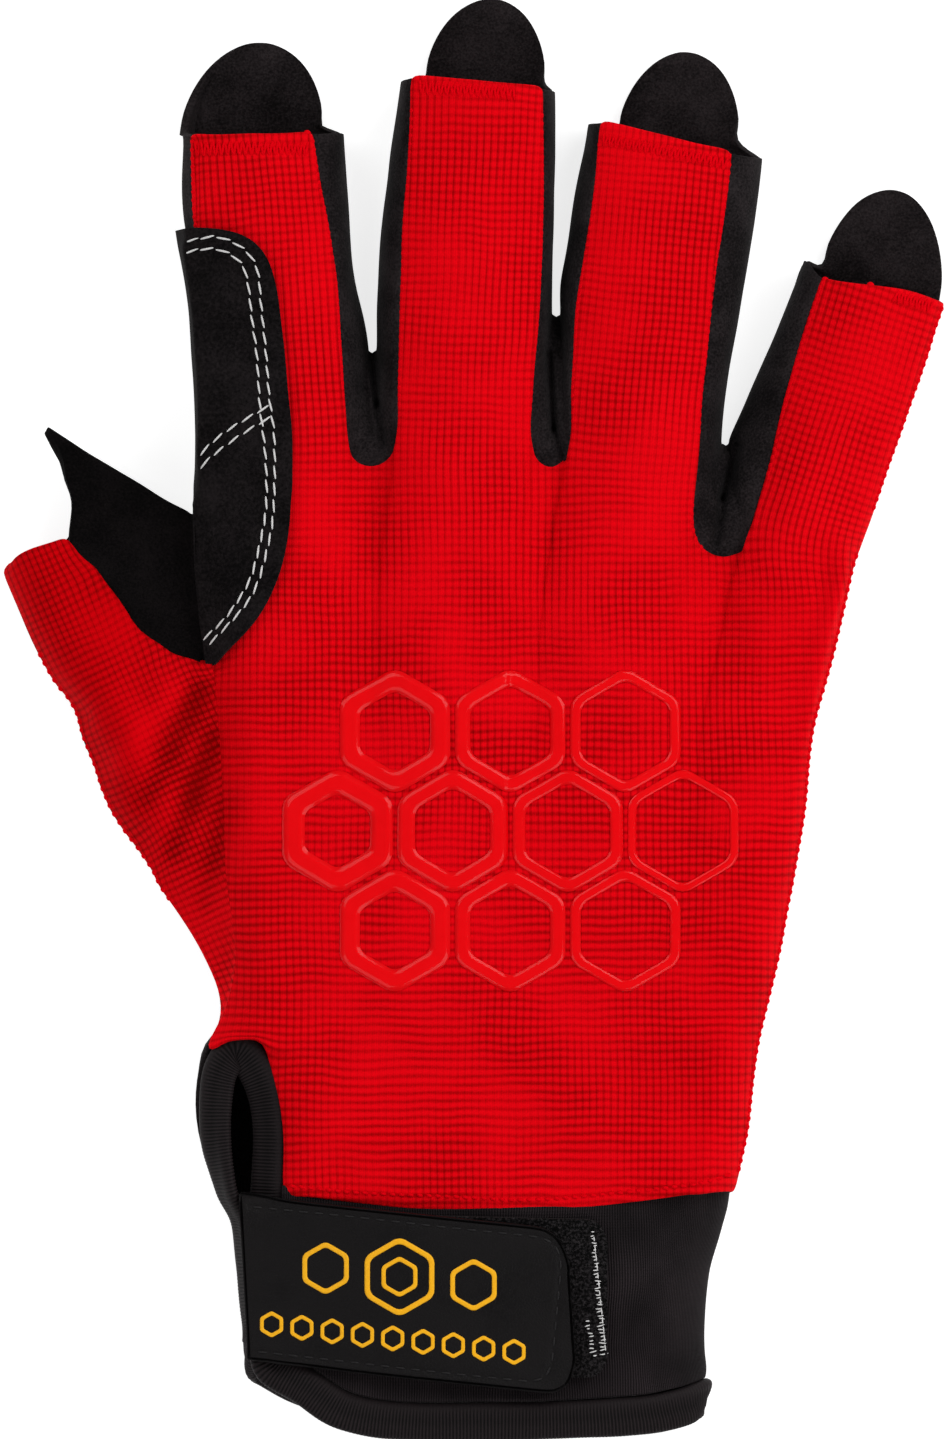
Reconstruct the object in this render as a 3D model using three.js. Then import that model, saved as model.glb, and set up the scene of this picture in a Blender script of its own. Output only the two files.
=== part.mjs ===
// A climbing glove for the right hand, lying palm down with its fingers towards +Y and its thumb towards -X.
// The back is ribbed knit, and the palm, the finger walls and the thumb's inner side are thin suede. The red
// finger backs end in a hem, and the palm's suede runs on past them as a round tongue under each fingertip.
// Every sewn panel is a thin wall cut from one common skin, so neighbours meet at their seams.
import * as THREE from "three";

// Hand, in millimetres
const palmWidth = 108; // side seam to side seam at the finger roots
const palmLength = 124.5; // cuff seam to the root of the index finger
const palmHeight = 24; // heights below are shares of it; the crown at the knuckles stays a little under it
const wristHeight = 19; // the same at the cuff seam
const cuffSeamSag = 2.8; // how far the cuff seam dips at its middle
const fingerCrown = 0.16; // share of a finger's height that its back rises above its seams

// Cuff
const cuffWidth = 78.5;
const cuffLength = 34.6; // seam to the tape at its lower edge
const cuffCentre = -8.4; // across from the hand's centre line
const cuffTuck = 0.9; // how far the cuff stays inside the panel above it

// Cloth
const knitWall = 1.3;
const suedeWall = 1.4;
const patchWall = 1;
const strapWall = 1.5;
const padWall = 1.3;
const seamGap = 0.3;
const patchLift = 0.75; // stays clear of the facets of the skin under it
const tapeWidth = 6.2;
const tapeThickness = 2.4;
const tapeInset = 0.4; // how far the tape lies inside the cloth's outer face

// The tape's turn at the end of the slit, in shares of the palm
const slitTurn = [
  { across: -0.467, along: 0.134, height: 0.5 },
  { across: -0.439, along: 0.1605, height: 0.53 },
  { across: -0.408, along: 0.135, height: 0.57 },
];

// Closure strap, from its corner by the thumb, and the loop pad that its end grips
const strap = { across: -0.433, along: -0.010, length: 53.7, width: 26.4, corner: 5, tilt: -6, lean: 0.06 };
const strapLift = 0.6;
const strapStart = 13.9; // height where it is sewn on, beside the slit
const pad = { across: -0.213, along: -0.032, length: 36.6, width: 26, corner: 3.5, tilt: -1.4, lean: 0 };
const padLift = 0.4;

// Fingers. Roots are shares of the palm's width and length from its centre line at the cuff seam.
// base and hem are where each edge starts and ends, in shares of the finger's own length.
const fingers = [
  {
    name: "index", across: -0.384, along: 1.0, lean: -4.0,
    length: 48.8, width: 24.4, height: 18.5, tipHeight: 15,
    base: [0.02, -0.02], hem: [1.01, 0.99],
  },
  {
    name: "middle", across: -0.09, along: 1.0, lean: 2.1,
    length: 57.5, width: 22.6, height: 19.5, tipHeight: 15.5,
    base: [0.0, 0.0], hem: [1.0, 0.985],
  },
  {
    name: "ring", across: 0.17, along: 0.942, lean: 5.1,
    length: 55.5, width: 22.1, height: 18.5, tipHeight: 14.5,
    base: [0.1, -0.1], hem: [1.03, 0.975],
  },
  {
    name: "little", across: 0.431, along: 0.878, lean: 17.5,
    length: 40.3, width: 20.1, height: 16.5, tipHeight: 13.5,
    base: [-0.06, 0.06], hem: [0.965, 1.03],
  },
];

// Edges of each finger in shares of its width: the back's seams, and the outer walls beyond them.
const fingerEdges = {
  index: [
    { along: 0, left: -0.425, right: 0.512, leftWall: -0.53, rightWall: 0.7 },
    { along: 0.25, left: -0.41, right: 0.512, leftWall: -0.53, rightWall: 0.7 },
    { along: 0.5, left: -0.415, right: 0.505, leftWall: -0.535, rightWall: 0.62 },
    { along: 0.75, left: -0.46, right: 0.463, leftWall: -0.512, rightWall: 0.622 },
    { along: 1, left: -0.43, right: 0.415, leftWall: -0.479, rightWall: 0.623 },
  ],
  middle: [
    { along: 0, left: -0.481, right: 0.481, leftWall: -0.67, rightWall: 0.63 },
    { along: 0.25, left: -0.491, right: 0.502, leftWall: -0.671, rightWall: 0.634 },
    { along: 0.5, left: -0.505, right: 0.516, leftWall: -0.67, rightWall: 0.595 },
    { along: 0.75, left: -0.481, right: 0.506, leftWall: -0.619, rightWall: 0.593 },
    { along: 1, left: -0.467, right: 0.468, leftWall: -0.549, rightWall: 0.563 },
  ],
  ring: [
    { along: 0, left: -0.494, right: 0.457, leftWall: -0.67, rightWall: 0.644 },
    { along: 0.25, left: -0.521, right: 0.445, leftWall: -0.67, rightWall: 0.618 },
    { along: 0.5, left: -0.544, right: 0.448, leftWall: -0.674, rightWall: 0.661 },
    { along: 0.75, left: -0.503, right: 0.482, leftWall: -0.642, rightWall: 0.716 },
    { along: 1, left: -0.491, right: 0.499, leftWall: -0.58, rightWall: 0.736 },
  ],
  little: [
    { along: 0, left: -0.433, right: 0.487, leftWall: -0.8, rightWall: 0.487 },
    { along: 0.25, left: -0.445, right: 0.501, leftWall: -0.794, rightWall: 0.501 },
    { along: 0.5, left: -0.491, right: 0.524, leftWall: -0.749, rightWall: 0.524 },
    { along: 0.75, left: -0.5, right: 0.545, leftWall: -0.704, rightWall: 0.545 },
    { along: 1, left: -0.477, right: 0.54, leftWall: -0.668, rightWall: 0.54 },
  ],
};

// Tongues under the fingertips, in shares of the finger's width.
const tongues = {
  index: { length: 0.63, width: 0.975, shift: 0.0, tipShift: 0.08 },
  middle: { length: 0.64, width: 0.89, shift: 0.055, tipShift: 0.08 },
  ring: { length: 0.67, width: 0.915, shift: 0.095, tipShift: 0.12 },
  little: { length: 0.83, width: 1.03, shift: 0.0, tipShift: -0.08 },
};
const tongueLift = 1.6; // the tip's rise off the table
const tongueCurl = 1.2; // the rise of its edge

// Webs between the fingers: where the back's seam and the palm's edge turn, in shares of the palm.
const webs = [
  { across: -0.228, backAlong: 0.954, palmAcross: -0.231, palmAlong: 1.103 },
  { across: 0.039, backAlong: 0.952, palmAcross: 0.051, palmAlong: 1.15 },
  { across: 0.294, backAlong: 0.834, palmAcross: 0.309, palmAlong: 0.98 },
];
const palmWebWidth = 1.5;
const palmWebDepth = 1.4;
const palmEdgeHeight = 2.8; // the seam between a finger wall and the palm

// Outline of the hand on the little finger's side, in shares of the palm.
const littleSide = [
  { along: 0, across: 0.3235 },
  { along: 0.036, across: 0.3405 },
  { along: 0.11, across: 0.3455 },
  { along: 0.205, across: 0.364 },
  { along: 0.301, across: 0.388 },
  { along: 0.396, across: 0.408 },
  { along: 0.491, across: 0.427 },
  { along: 0.587, across: 0.437 },
  { along: 0.65, across: 0.456 },
  { along: 0.714, across: 0.476 },
  { along: 0.777, across: 0.491 },
  { along: 0.841, across: 0.509 },
  { along: 0.9, across: 0.527 },
];

// The back's edge on the thumb's side, from the cuff seam to the index finger: along the wrist slit to its
// end, down the fold between hand and thumb, then up the thumb's web. Heights are shares of the palm's.
const thumbSide = [
  { along: 0.0, across: -0.365, height: 0.64 },
  { along: 0.1, across: -0.365, height: 0.65 },
  { along: 0.181, across: -0.397, height: 0.61 },
  { along: 0.192, across: -0.4645, height: 0.48 }, // end of the slit
  { along: 0.301, across: -0.439, height: 0.54 },
  { along: 0.393, across: -0.449, height: 0.56 },
  { along: 0.486, across: -0.457, height: 0.57 },
  { along: 0.585, across: -0.462, height: 0.56 },
  { along: 0.693, across: -0.472, height: 0.53 }, // knit meets suede
  { along: 0.791, across: -0.488, height: 0.5 },
  { along: 0.881, across: -0.486, height: 0.48 }, // bottom of the thumb's web
  { along: 0.943, across: -0.479, height: 0.55 },
];
const slitEndRow = 3;
const suedeRow = 8;
const webRow = 10;

// The palm's edge on the same side, row for row. Between the slit's end and the web it lies under the thumb.
const palmThumbSide = [
  { along: 0.0, across: -0.47, height: 0.4, bulge: 0.3 },
  { along: 0.075, across: -0.495, height: 0.4, bulge: 0.3 },
  { along: 0.141, across: -0.494, height: 0.41, bulge: 0.4 },
  { along: 0.192, across: -0.4645, height: 0.48, bulge: 1 },
  { along: 0.27, across: -0.425, height: 0.07, bulge: 0.1 },
  { along: 0.36, across: -0.41, height: 0, bulge: 0 },
  { along: 0.47, across: -0.4, height: 0, bulge: 0 },
  { along: 0.58, across: -0.405, height: 0, bulge: 0 },
  { along: 0.7, across: -0.42, height: 0, bulge: 0 },
  { along: 0.82, across: -0.45, height: 0.05, bulge: 0.1 },
  { along: 0.881, across: -0.486, height: 0.48, bulge: 0.6 },
  { along: 0.943, across: -0.479, height: 0.55, bulge: 0.8 },
];
const indexBulge = 0.8;

// Thumb: corners of its mouth and the seams that run to them, in shares of the palm.
const thumbMouth = {
  outer: { across: -0.794, along: 0.815, height: 0.2 }, // hem at the outer seam
  inner: { across: -0.693, along: 0.857, height: 0.5 }, // hem at the seam between knit and suede
  tip: { across: -0.723, along: 1.006, height: 0.24 }, // corner of the suede flap
};
const thumbOuterSeam = [
  { share: 0, across: -0.4645, along: 0.192, height: 0.48 },
  { share: 0.07, across: -0.458, along: 0.237, height: 0.38 },
  { share: 0.2, across: -0.494, along: 0.325, height: 0.22 },
  { share: 0.35, across: -0.57, along: 0.42, height: 0.2 },
  { share: 0.5, across: -0.622, along: 0.49, height: 0.2 },
  { share: 0.65, across: -0.668, along: 0.585, height: 0.2 },
  { share: 0.8, across: -0.73, along: 0.69, height: 0.2 },
  { share: 1, across: -0.796, along: 0.816, height: 0.2 },
];
const thumbInnerSeam = [
  { share: 0, across: -0.472, along: 0.693, height: 0.53 },
  { share: 0.3, across: -0.56, along: 0.71, height: 0.53 },
  { share: 0.65, across: -0.63, along: 0.775, height: 0.52 },
  { share: 1, across: -0.693, along: 0.857, height: 0.5 },
];
const thumbFold = [
  { share: 0, across: -0.486, along: 0.881, height: 0.48 },
  { share: 0.5, across: -0.607, along: 0.943, height: 0.34 },
  { share: 1, across: -0.723, along: 1.006, height: 0.24 },
];
const thumbFlapCurve = 2.3; // how far the flap's end edge is hollowed
const thumbHemCurve = 0.5; // how far the knit's hem is rounded out
const thumbHemRise = 5.2; // crown of the knit over the thumb
const thumbRows = [0.08, 0.22, 0.36, 0.5, 0.65, 0.8, 1]; // shares of the way from the hand to the mouth

// Folds pressed into the back: their ends in shares of the palm, their width and depth in millimetres
const folds = [
  { across: -0.33, along: 0.62, toAcross: -0.4, toAlong: 0.3, width: 9, depth: 1.1 },
  { across: 0.3, along: 0.8, toAcross: 0.42, toAlong: 0.6, width: 8, depth: 1.4 },
  { across: -0.05, along: 0.06, toAcross: 0.24, toAlong: 0.1, width: 9, depth: 0.7 },
];

// Counts of faces
const handRows = 12;
const fingerRows = 8;
const backColumns = 4;
const palmColumns = [0, 0.14, 0.5, 0.86, 1];
const webColumns = 4;
const tongueRows = [0.08, 0.38, 0.66, 0.87, 1];

const clamp = THREE.MathUtils.clamp;
const lerp = THREE.MathUtils.lerp;
const point = (x, y, z) => new THREE.Vector3(x, y, z);
const mix = (a, b, share) => a.clone().lerp(b, share);
const radians = THREE.MathUtils.degToRad;
const squarer = (value, power) => Math.sign(value) * Math.abs(value) ** power; // swells a circle's corners

// Reads a column of a table at a share, along a smooth curve through its rows.
function readTable(table, key, share, column) {
  const last = table.length - 1;
  let row = 0;
  while (row < last - 1 && share > table[row + 1][key]) row += 1;
  const low = table[row];
  const high = table[row + 1];
  const span = high[key] - low[key];
  const t = clamp((share - low[key]) / span, 0, 1);
  const before = table[Math.max(row - 1, 0)];
  const after = table[Math.min(row + 2, last)];
  const slopeLow = ((high[column] - before[column]) / (high[key] - before[key])) * span;
  const slopeHigh = ((after[column] - low[column]) / (after[key] - low[key])) * span;
  const t2 = t * t;
  const t3 = t2 * t;
  return (
    (2 * t3 - 3 * t2 + 1) * low[column] +
    (t3 - 2 * t2 + t) * slopeLow +
    (3 * t2 - 2 * t3) * high[column] +
    (t3 - t2) * slopeHigh
  );
}

// A table row given in shares of the palm, as a point.
const onPalm = (row) => point(row.across * palmWidth, row.along * palmLength, (row.height ?? 0) * palmHeight);
const seamPoint = (table, share) =>
  onPalm({
    across: readTable(table, "share", share, "across"),
    along: readTable(table, "share", share, "along"),
    height: readTable(table, "share", share, "height"),
  });

// The common skin: one list of points, and each panel's faces on it.
const skin = [];
const panels = {};

function addPoints(points) {
  return points.map((p) => skin.push(p) - 1);
}

function addFacesTo(faces, rowA, rowB, turned = false) {
  for (let i = 0; i + 1 < rowA.length; i += 1) {
    const face = [rowA[i], rowA[i + 1], rowB[i + 1], rowB[i]];
    faces.push(turned ? face.reverse() : face);
  }
}

function addFaces(panel, rowA, rowB, turned = false) {
  panels[panel] ??= [];
  addFacesTo(panels[panel], rowA, rowB, turned);
}

// A point on a finger, from shares of its length and width.
function onFinger(finger, along, across, height) {
  const turn = radians(finger.lean);
  const reach = along * finger.length;
  const offset = across * finger.width;
  return point(
    finger.across * palmWidth + Math.sin(turn) * reach + Math.cos(turn) * offset,
    finger.along * palmLength + Math.cos(turn) * reach - Math.sin(turn) * offset,
    height,
  );
}

const fingerHeight = (finger, along) => lerp(finger.height, finger.tipHeight, clamp(along, 0, 1));

// Side of the hand or little finger below the back's top: how far inside the outline, and how high.
const sideProfile = [
  { inset: 1.7, height: 0.7 },
  { inset: 0, height: 0.44 },
  { inset: 0.7, height: 0.2 },
];
const sideInset = 5.5;

// One row of a finger's back, from its left seam to its right, with the little finger's side added.
function fingerBackRow(finger, step) {
  const edges = fingerEdges[finger.name];
  const isLittle = finger.name === "little";
  const row = [];
  for (let i = 0; i <= backColumns; i += 1) {
    const share = i / backColumns;
    const along = lerp(
      lerp(finger.base[0], finger.base[1], share),
      lerp(finger.hem[0], finger.hem[1], share),
      step / fingerRows,
    );
    const left = readTable(edges, "along", clamp(along, 0, 1), "left");
    const side = isLittle ? sideInset / finger.width : 0;
    const right = readTable(edges, "along", clamp(along, 0, 1), "right") - side;
    const crown = 1 - (2 * share - 1) ** 2;
    const height = fingerHeight(finger, along) * (1 - fingerCrown * (1 - crown));
    row.push(onFinger(finger, along, lerp(left, right, share), height));
  }
  if (isLittle) {
    const along = lerp(finger.base[1], finger.hem[1], step / fingerRows);
    const right = readTable(edges, "along", clamp(along, 0, 1), "right");
    for (const side of sideProfile) {
      const height = fingerHeight(finger, along) * side.height;
      row.push(onFinger(finger, along, right - side.inset / finger.width, height));
    }
  }
  return row;
}

// The turn of a web between two edge points, dipping below the line that joins them.
function webTurn(left, right, depth, drop) {
  const turn = [];
  for (let i = 1; i < webColumns; i += 1) {
    const angle = (Math.PI * i) / webColumns;
    const p = mix(left, right, (1 - squarer(Math.cos(angle), 0.84)) / 2);
    p.y -= depth * squarer(Math.sin(angle), 0.84);
    p.z -= drop * Math.sin(angle);
    turn.push(p);
  }
  return turn;
}

// Back of the hand: the row at the finger roots first, since every row below it leads to it.
const fingerBacks = fingers.map((finger) => {
  const rows = [];
  for (let step = 0; step <= fingerRows; step += 1) rows.push(fingerBackRow(finger, step));
  return rows;
});
const rootRow = [];
fingers.forEach((finger, f) => {
  const base = fingerBacks[f][0];
  rootRow.push(...base);
  if (f < webs.length) {
    const left = base[base.length - 1];
    const right = fingerBacks[f + 1][0][0];
    const depth = (left.y + right.y) / 2 - webs[f].backAlong * palmLength;
    rootRow.push(...webTurn(left, right, depth, 1.2));
  }
});
const topCount = rootRow.length - sideProfile.length;

const backRise = (along) => lerp(wristHeight, palmHeight, Math.sin((Math.PI / 2) * clamp(along, 0, 1)));
const littleFinger = fingers[3];
const littleRoot = littleFinger.along + (littleFinger.base[1] * littleFinger.length) / palmLength;
const littleSideAlong = (row) => (row / handRows) * littleRoot;

function foldDepth(p) {
  let depth = 0;
  for (const fold of folds) {
    const start = onPalm(fold);
    const end = onPalm({ across: fold.toAcross, along: fold.toAlong });
    const run = end.clone().sub(start);
    const flat = point(p.x, p.y, 0).sub(start);
    const share = flat.dot(run) / run.lengthSq();
    const near = start.clone().addScaledVector(run, clamp(share, 0, 1));
    const away = Math.hypot(p.x - near.x, p.y - near.y);
    const fade = Math.exp(-(((share - 0.5) / 0.55) ** 4));
    depth += fold.depth * fade * Math.exp(-((away / fold.width) ** 2));
  }
  return depth;
}

function handBackRow(rowNumber) {
  const share = rowNumber / handRows;
  const left = onPalm(thumbSide[rowNumber]);
  const along = littleSideAlong(rowNumber);
  const outline = readTable(littleSide, "along", along, "across") * palmWidth;
  const rise = backRise(share);
  const right = point(outline - sideInset, along * palmLength, rise * 0.9);
  const first = rootRow[0];
  const last = rootRow[topCount - 1];
  const row = [];
  for (let i = 0; i < topCount; i += 1) {
    const target = rootRow[i];
    const across = (target.x - first.x) / (last.x - first.x);
    const p = mix(left, right, across);
    const straight = lerp(first.y, last.y, across);
    p.y += (target.y - straight) * share ** 3 - cuffSeamSag * Math.sin(Math.PI * across) * (1 - share) ** 3;
    const dome = (rise - Math.min(left.z, right.z)) * 0.62 * Math.sin(Math.PI * Math.sqrt(across)) ** 0.8;
    p.z = lerp(Math.min(p.z + dome, rise), target.z, share ** 2.4);
    if (i > 0) p.z -= foldDepth(p) * (1 - share ** 6);
    row.push(p);
  }
  for (const side of sideProfile) {
    row.push(point(outline - side.inset, along * palmLength, rise * side.height));
  }
  return row;
}

const backHand = [];
for (let row = 0; row < handRows; row += 1) backHand.push(addPoints(handBackRow(row)));
const rootIndices = addPoints(rootRow);
backHand.push(rootIndices);
for (let row = 0; row < handRows; row += 1) addFaces("back_panel", backHand[row], backHand[row + 1]);

const backFingers = fingers.map((finger, f) => {
  const start = f * (backColumns + webColumns);
  const rows = [rootIndices.slice(start, start + fingerBacks[f][0].length)];
  for (let step = 1; step <= fingerRows; step += 1) rows.push(addPoints(fingerBacks[f][step]));
  for (let step = 0; step < fingerRows; step += 1) addFaces("back_panel", rows[step], rows[step + 1]);
  return rows;
});

// The side seams that back and palm share.
const seamOf = (handPart, finger, end) => [...handPart, ...finger.slice(1)].map((row) => row.at(end));
const littleSeam = seamOf(backHand, backFingers[3], -1);
const indexSeam = seamOf(backHand.slice(webRow), backFingers[0], 0);

// Palm. Its edge on the thumb's side climbs a low wall, given from the seam inwards.
const wallProfile = [
  { inset: 0.5, out: 1.25, height: 0.5 },
  { inset: 1.5, out: 0.3, height: 0.12 },
  { inset: 4.2, out: 0, height: 0 },
];

function thumbSideWall(seam, lift, bulge) {
  return wallProfile.map((step) =>
    point(
      seam.x + step.inset - step.out * bulge,
      seam.y,
      lift + (seam.z - lift) * step.height,
    ),
  );
}

// One row of a finger's palm side, between two edge points.
function fingerPalmRow(left, right, lift = 0, edge = palmEdgeHeight, nearEdge = 0, middle = 0) {
  const heights = [edge, nearEdge, middle, nearEdge, edge];
  return palmColumns.map((share, i) => {
    const p = mix(left, right, share);
    p.z = lift + heights[i];
    return p;
  });
}

function palmEdge(finger, step, side) {
  const isLeft = side === "left";
  const f = fingers.indexOf(finger);
  const web = webs[isLeft ? f - 1 : f];
  const turn = radians(finger.lean);
  const cross = web.palmAcross * palmWidth + ((isLeft ? 1 : -1) * palmWebWidth) / 2;
  const rise = web.palmAlong * palmLength + palmWebDepth;
  const fromRoot = point(cross - finger.across * palmWidth, rise - finger.along * palmLength, 0);
  const start = (fromRoot.x * Math.sin(turn) + fromRoot.y * Math.cos(turn)) / finger.length;
  if (step === 0) return point(cross, rise, palmEdgeHeight);
  const along = lerp(start, finger.hem[isLeft ? 0 : 1], step / fingerRows);
  const column = isLeft ? "leftWall" : "rightWall";
  const wall = readTable(fingerEdges[finger.name], "along", clamp(along, 0, 1), column);
  return onFinger(finger, along, wall, palmEdgeHeight);
}

const fingerPalms = fingers.map((finger, f) => {
  const rows = [];
  for (let step = 0; step <= fingerRows; step += 1) {
    const seamLeft = f === 0 ? skin[indexSeam[handRows - webRow + step]] : null;
    const seamRight = f === 3 ? skin[littleSeam[handRows + step]] : null;
    const wall = seamLeft ? thumbSideWall(seamLeft, 0, indexBulge) : [];
    const left = wall.at(-1) ?? palmEdge(finger, step, "left");
    const right = seamRight ?? palmEdge(finger, step, "right");
    const row = fingerPalmRow(left, right);
    if (seamLeft) row.splice(0, 1, ...wall);
    if (seamRight) row.pop();
    rows.push(row);
  }
  return rows;
});

// Joins shared seam points to a row of new ones.
const withSeams = (points, leftSeam, rightSeam) => [
  ...(leftSeam === undefined ? [] : [leftSeam]),
  ...addPoints(points),
  ...(rightSeam === undefined ? [] : [rightSeam]),
];

const palmRootPoints = [];
fingerPalms.forEach((rows, f) => {
  palmRootPoints.push(...rows[0]);
  if (f < webs.length) {
    const left = rows[0].at(-1);
    const right = fingerPalms[f + 1][0][0];
    palmRootPoints.push(...webTurn(left, right, palmWebDepth, 0));
  }
});
const palmRoot = withSeams(palmRootPoints, indexSeam[handRows - webRow], littleSeam[handRows]);
const palmRootShape = palmRoot.map((index) => skin[index]);

function handPalmRow(rowNumber) {
  const share = rowNumber / handRows;
  const seam = onPalm(palmThumbSide[rowNumber]);
  const wall = thumbSideWall(seam, 0, palmThumbSide[rowNumber].bulge);
  const left = wall.at(-1);
  const right = skin[littleSeam[rowNumber]];
  const firstColumn = wallProfile.length;
  const lastColumn = palmRootShape.length - 1;
  const row = wall.slice(0, -1);
  for (let i = firstColumn; i < lastColumn; i += 1) {
    const target = palmRootShape[i];
    const span = palmRootShape[lastColumn].x - palmRootShape[firstColumn].x;
    const across = (target.x - palmRootShape[firstColumn].x) / span;
    const p = mix(left, right, across);
    const straight = lerp(palmRootShape[firstColumn].y, palmRootShape[lastColumn].y, across);
    p.y += (target.y - straight) * share ** 2 - cuffSeamSag * Math.sin(Math.PI * across) * (1 - share) ** 3;
    p.z = 0;
    row.push(p);
  }
  const meetsBack = rowNumber === slitEndRow || rowNumber >= webRow;
  const sharedLeft = meetsBack ? backHand[rowNumber][0] : addPoints([seam])[0];
  return withSeams(row, sharedLeft, littleSeam[rowNumber]);
}

const palmHand = [];
for (let row = 0; row < handRows; row += 1) palmHand.push(handPalmRow(row));
palmHand.push(palmRoot);
for (let row = 0; row < handRows; row += 1) addFaces("palm_panel", palmHand[row], palmHand[row + 1], true);

// The palm's fingers, each with its tongue past the hem.
const palmFingers = fingers.map((finger, f) => {
  const isIndex = f === 0;
  const isLittle = f === 3;
  const start = isIndex ? 0 : wallProfile.length + f * (palmColumns.length - 1 + webColumns);
  const count = palmColumns.length + (isIndex ? wallProfile.length : 0);
  const rows = [palmRoot.slice(start, start + count)];
  for (let step = 1; step <= fingerRows; step += 1) {
    const leftSeam = isIndex ? indexSeam[handRows - webRow + step] : undefined;
    const rightSeam = isLittle ? littleSeam[handRows + step] : undefined;
    rows.push(withSeams(fingerPalms[f][step], leftSeam, rightSeam));
  }
  const tongue = tongues[finger.name];
  const hemAlong = (finger.hem[0] + finger.hem[1]) / 2;
  for (const share of tongueRows) {
    const half = (tongue.width / 2) * Math.sqrt(Math.max(1 - share ** 2, 0.03));
    const middle = lerp(tongue.shift, tongue.tipShift, share);
    const along = hemAlong + (share * tongue.length * finger.width) / finger.length;
    const lift = tongueLift * share ** 2;
    const left = onFinger(finger, along, middle - half, 0);
    const right = onFinger(finger, along, middle + half, 0);
    const middleCurl = tongueCurl * share ** 4;
    const row = fingerPalmRow(left, right, lift, tongueCurl, (tongueCurl + middleCurl) / 2, middleCurl);
    if (isIndex) {
      const seam = left.clone();
      seam.z = lift + tongueCurl + 5 * (1 - share) ** 2;
      const wall = thumbSideWall(seam, lift, 0).map((p, i) => {
        p.x = lerp(left.x, row[1].x, (i + 1) / (wallProfile.length + 1));
        return p;
      });
      row.splice(0, 1, seam, ...wall);
    }
    rows.push(addPoints(row));
  }
  for (let i = 0; i + 1 < rows.length; i += 1) addFaces("palm_panel", rows[i], rows[i + 1], true);
  return rows;
});

// Finger walls: each strip runs down one finger, round the web and up the next, and reaches from the back's
// seam to the palm's.
const stripProfile = [
  { out: 0.42, drop: 0.1 },
  { out: 0.82, drop: 0.38 },
  { out: 1, drop: 0.7 },
];
const stripNames = ["wall_index_middle", "wall_middle_ring", "wall_ring_little"];
stripNames.forEach((name, f) => {
  const littleNext = f + 1 === 3;
  const topLeft = backFingers[f].map((row) => row[backColumns]);
  const topRight = backFingers[f + 1].map((row) => row[0]);
  const webStart = f * (backColumns + webColumns) + backColumns;
  const top = [
    ...topLeft.slice(1).reverse(),
    ...rootIndices.slice(webStart, webStart + webColumns + 1),
    ...topRight.slice(1),
  ];
  const bottomLeft = palmFingers[f].slice(0, fingerRows + 1).map((row) => row.at(-1));
  const bottomRight = palmFingers[f + 1].slice(0, fingerRows + 1).map((row) => row[0]);
  const palmWebStart = wallProfile.length + (f + 1) * (palmColumns.length - 1) + f * webColumns;
  const bottom = [
    ...bottomLeft.slice(1).reverse(),
    ...palmRoot.slice(palmWebStart, palmWebStart + webColumns + 1),
    ...bottomRight.slice(1),
  ];
  const rows = [top];
  for (const step of stripProfile) {
    const row = top.map((index, i) => {
      const high = skin[index];
      const low = skin[bottom[i]];
      const p = mix(high, low, step.out);
      p.z = lerp(high.z, low.z, step.drop);
      return p;
    });
    rows.push(addPoints(row));
  }
  rows.push(bottom);
  for (let i = 0; i + 1 < rows.length; i += 1) addFaces(name, rows[i], rows[i + 1]);
});

// Thumb: rings from the hole it is sewn into, out to its mouth. Each starts at the outer seam, crosses the
// knit, then the suede's upper side to the fold, and comes back under the thumb.
const knitSteps = suedeRow - slitEndRow;
const flapSteps = webRow - suedeRow;
const underSteps = webRow - slitEndRow;
const thumbBase = [
  ...backHand.slice(slitEndRow, webRow + 1).map((row) => row[0]),
  ...palmHand.slice(slitEndRow + 1, webRow).reverse().map((row) => row[0]),
];

function patchPoint(share, away, near, far, start, end) {
  const sides = mix(start(away), end(away), share);
  const ends = mix(near(share), far(share), away);
  const corners = mix(mix(near(0), near(1), share), mix(far(0), far(1), share), away);
  return sides.add(ends).sub(corners);
}

const alongSkin = (indices, share) => {
  const place = clamp(share, 0, 1) * (indices.length - 1);
  const step = Math.min(Math.floor(place), indices.length - 2);
  return mix(skin[indices[step]], skin[indices[step + 1]], place - step);
};
const mouthOuter = onPalm(thumbMouth.outer);
const mouthInner = onPalm(thumbMouth.inner);
const mouthTip = onPalm(thumbMouth.tip);
const hemLine = (share) => {
  const p = mix(mouthOuter, mouthInner, share);
  p.z += thumbHemRise * Math.sin(Math.PI * share ** 0.7) * 0.8;
  p.x -= 0.42 * thumbHemCurve * Math.sin(Math.PI * share);
  p.y += 0.91 * thumbHemCurve * Math.sin(Math.PI * share);
  return p;
};
const flapLine = (share) => {
  const p = mix(mouthInner, mouthTip, share);
  p.x += thumbFlapCurve * Math.sin(Math.PI * share);
  return p;
};
const underLine = (share) => {
  const turn = 0.62;
  const onFlap = share < turn;
  const p = onFlap ? flapLine(1 - share / turn) : mix(mouthInner, mouthOuter, (share - turn) / (1 - turn));
  const curl = (1 - share) ** 8 * mouthTip.z + share ** 8 * mouthOuter.z;
  p.z = curl;
  p.y -= 0.8 * Math.sin(Math.PI * share);
  return p;
};
const outerSeam = (away) => seamPoint(thumbOuterSeam, away);
const innerSeam = (away) => seamPoint(thumbInnerSeam, away);
const foldEdge = (away) => seamPoint(thumbFold, away);
const knitBase = thumbBase.slice(0, knitSteps + 1);
const flapBase = thumbBase.slice(knitSteps, knitSteps + flapSteps + 1);
const underBase = thumbBase.slice(knitSteps + flapSteps).concat(thumbBase[0]);

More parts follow.
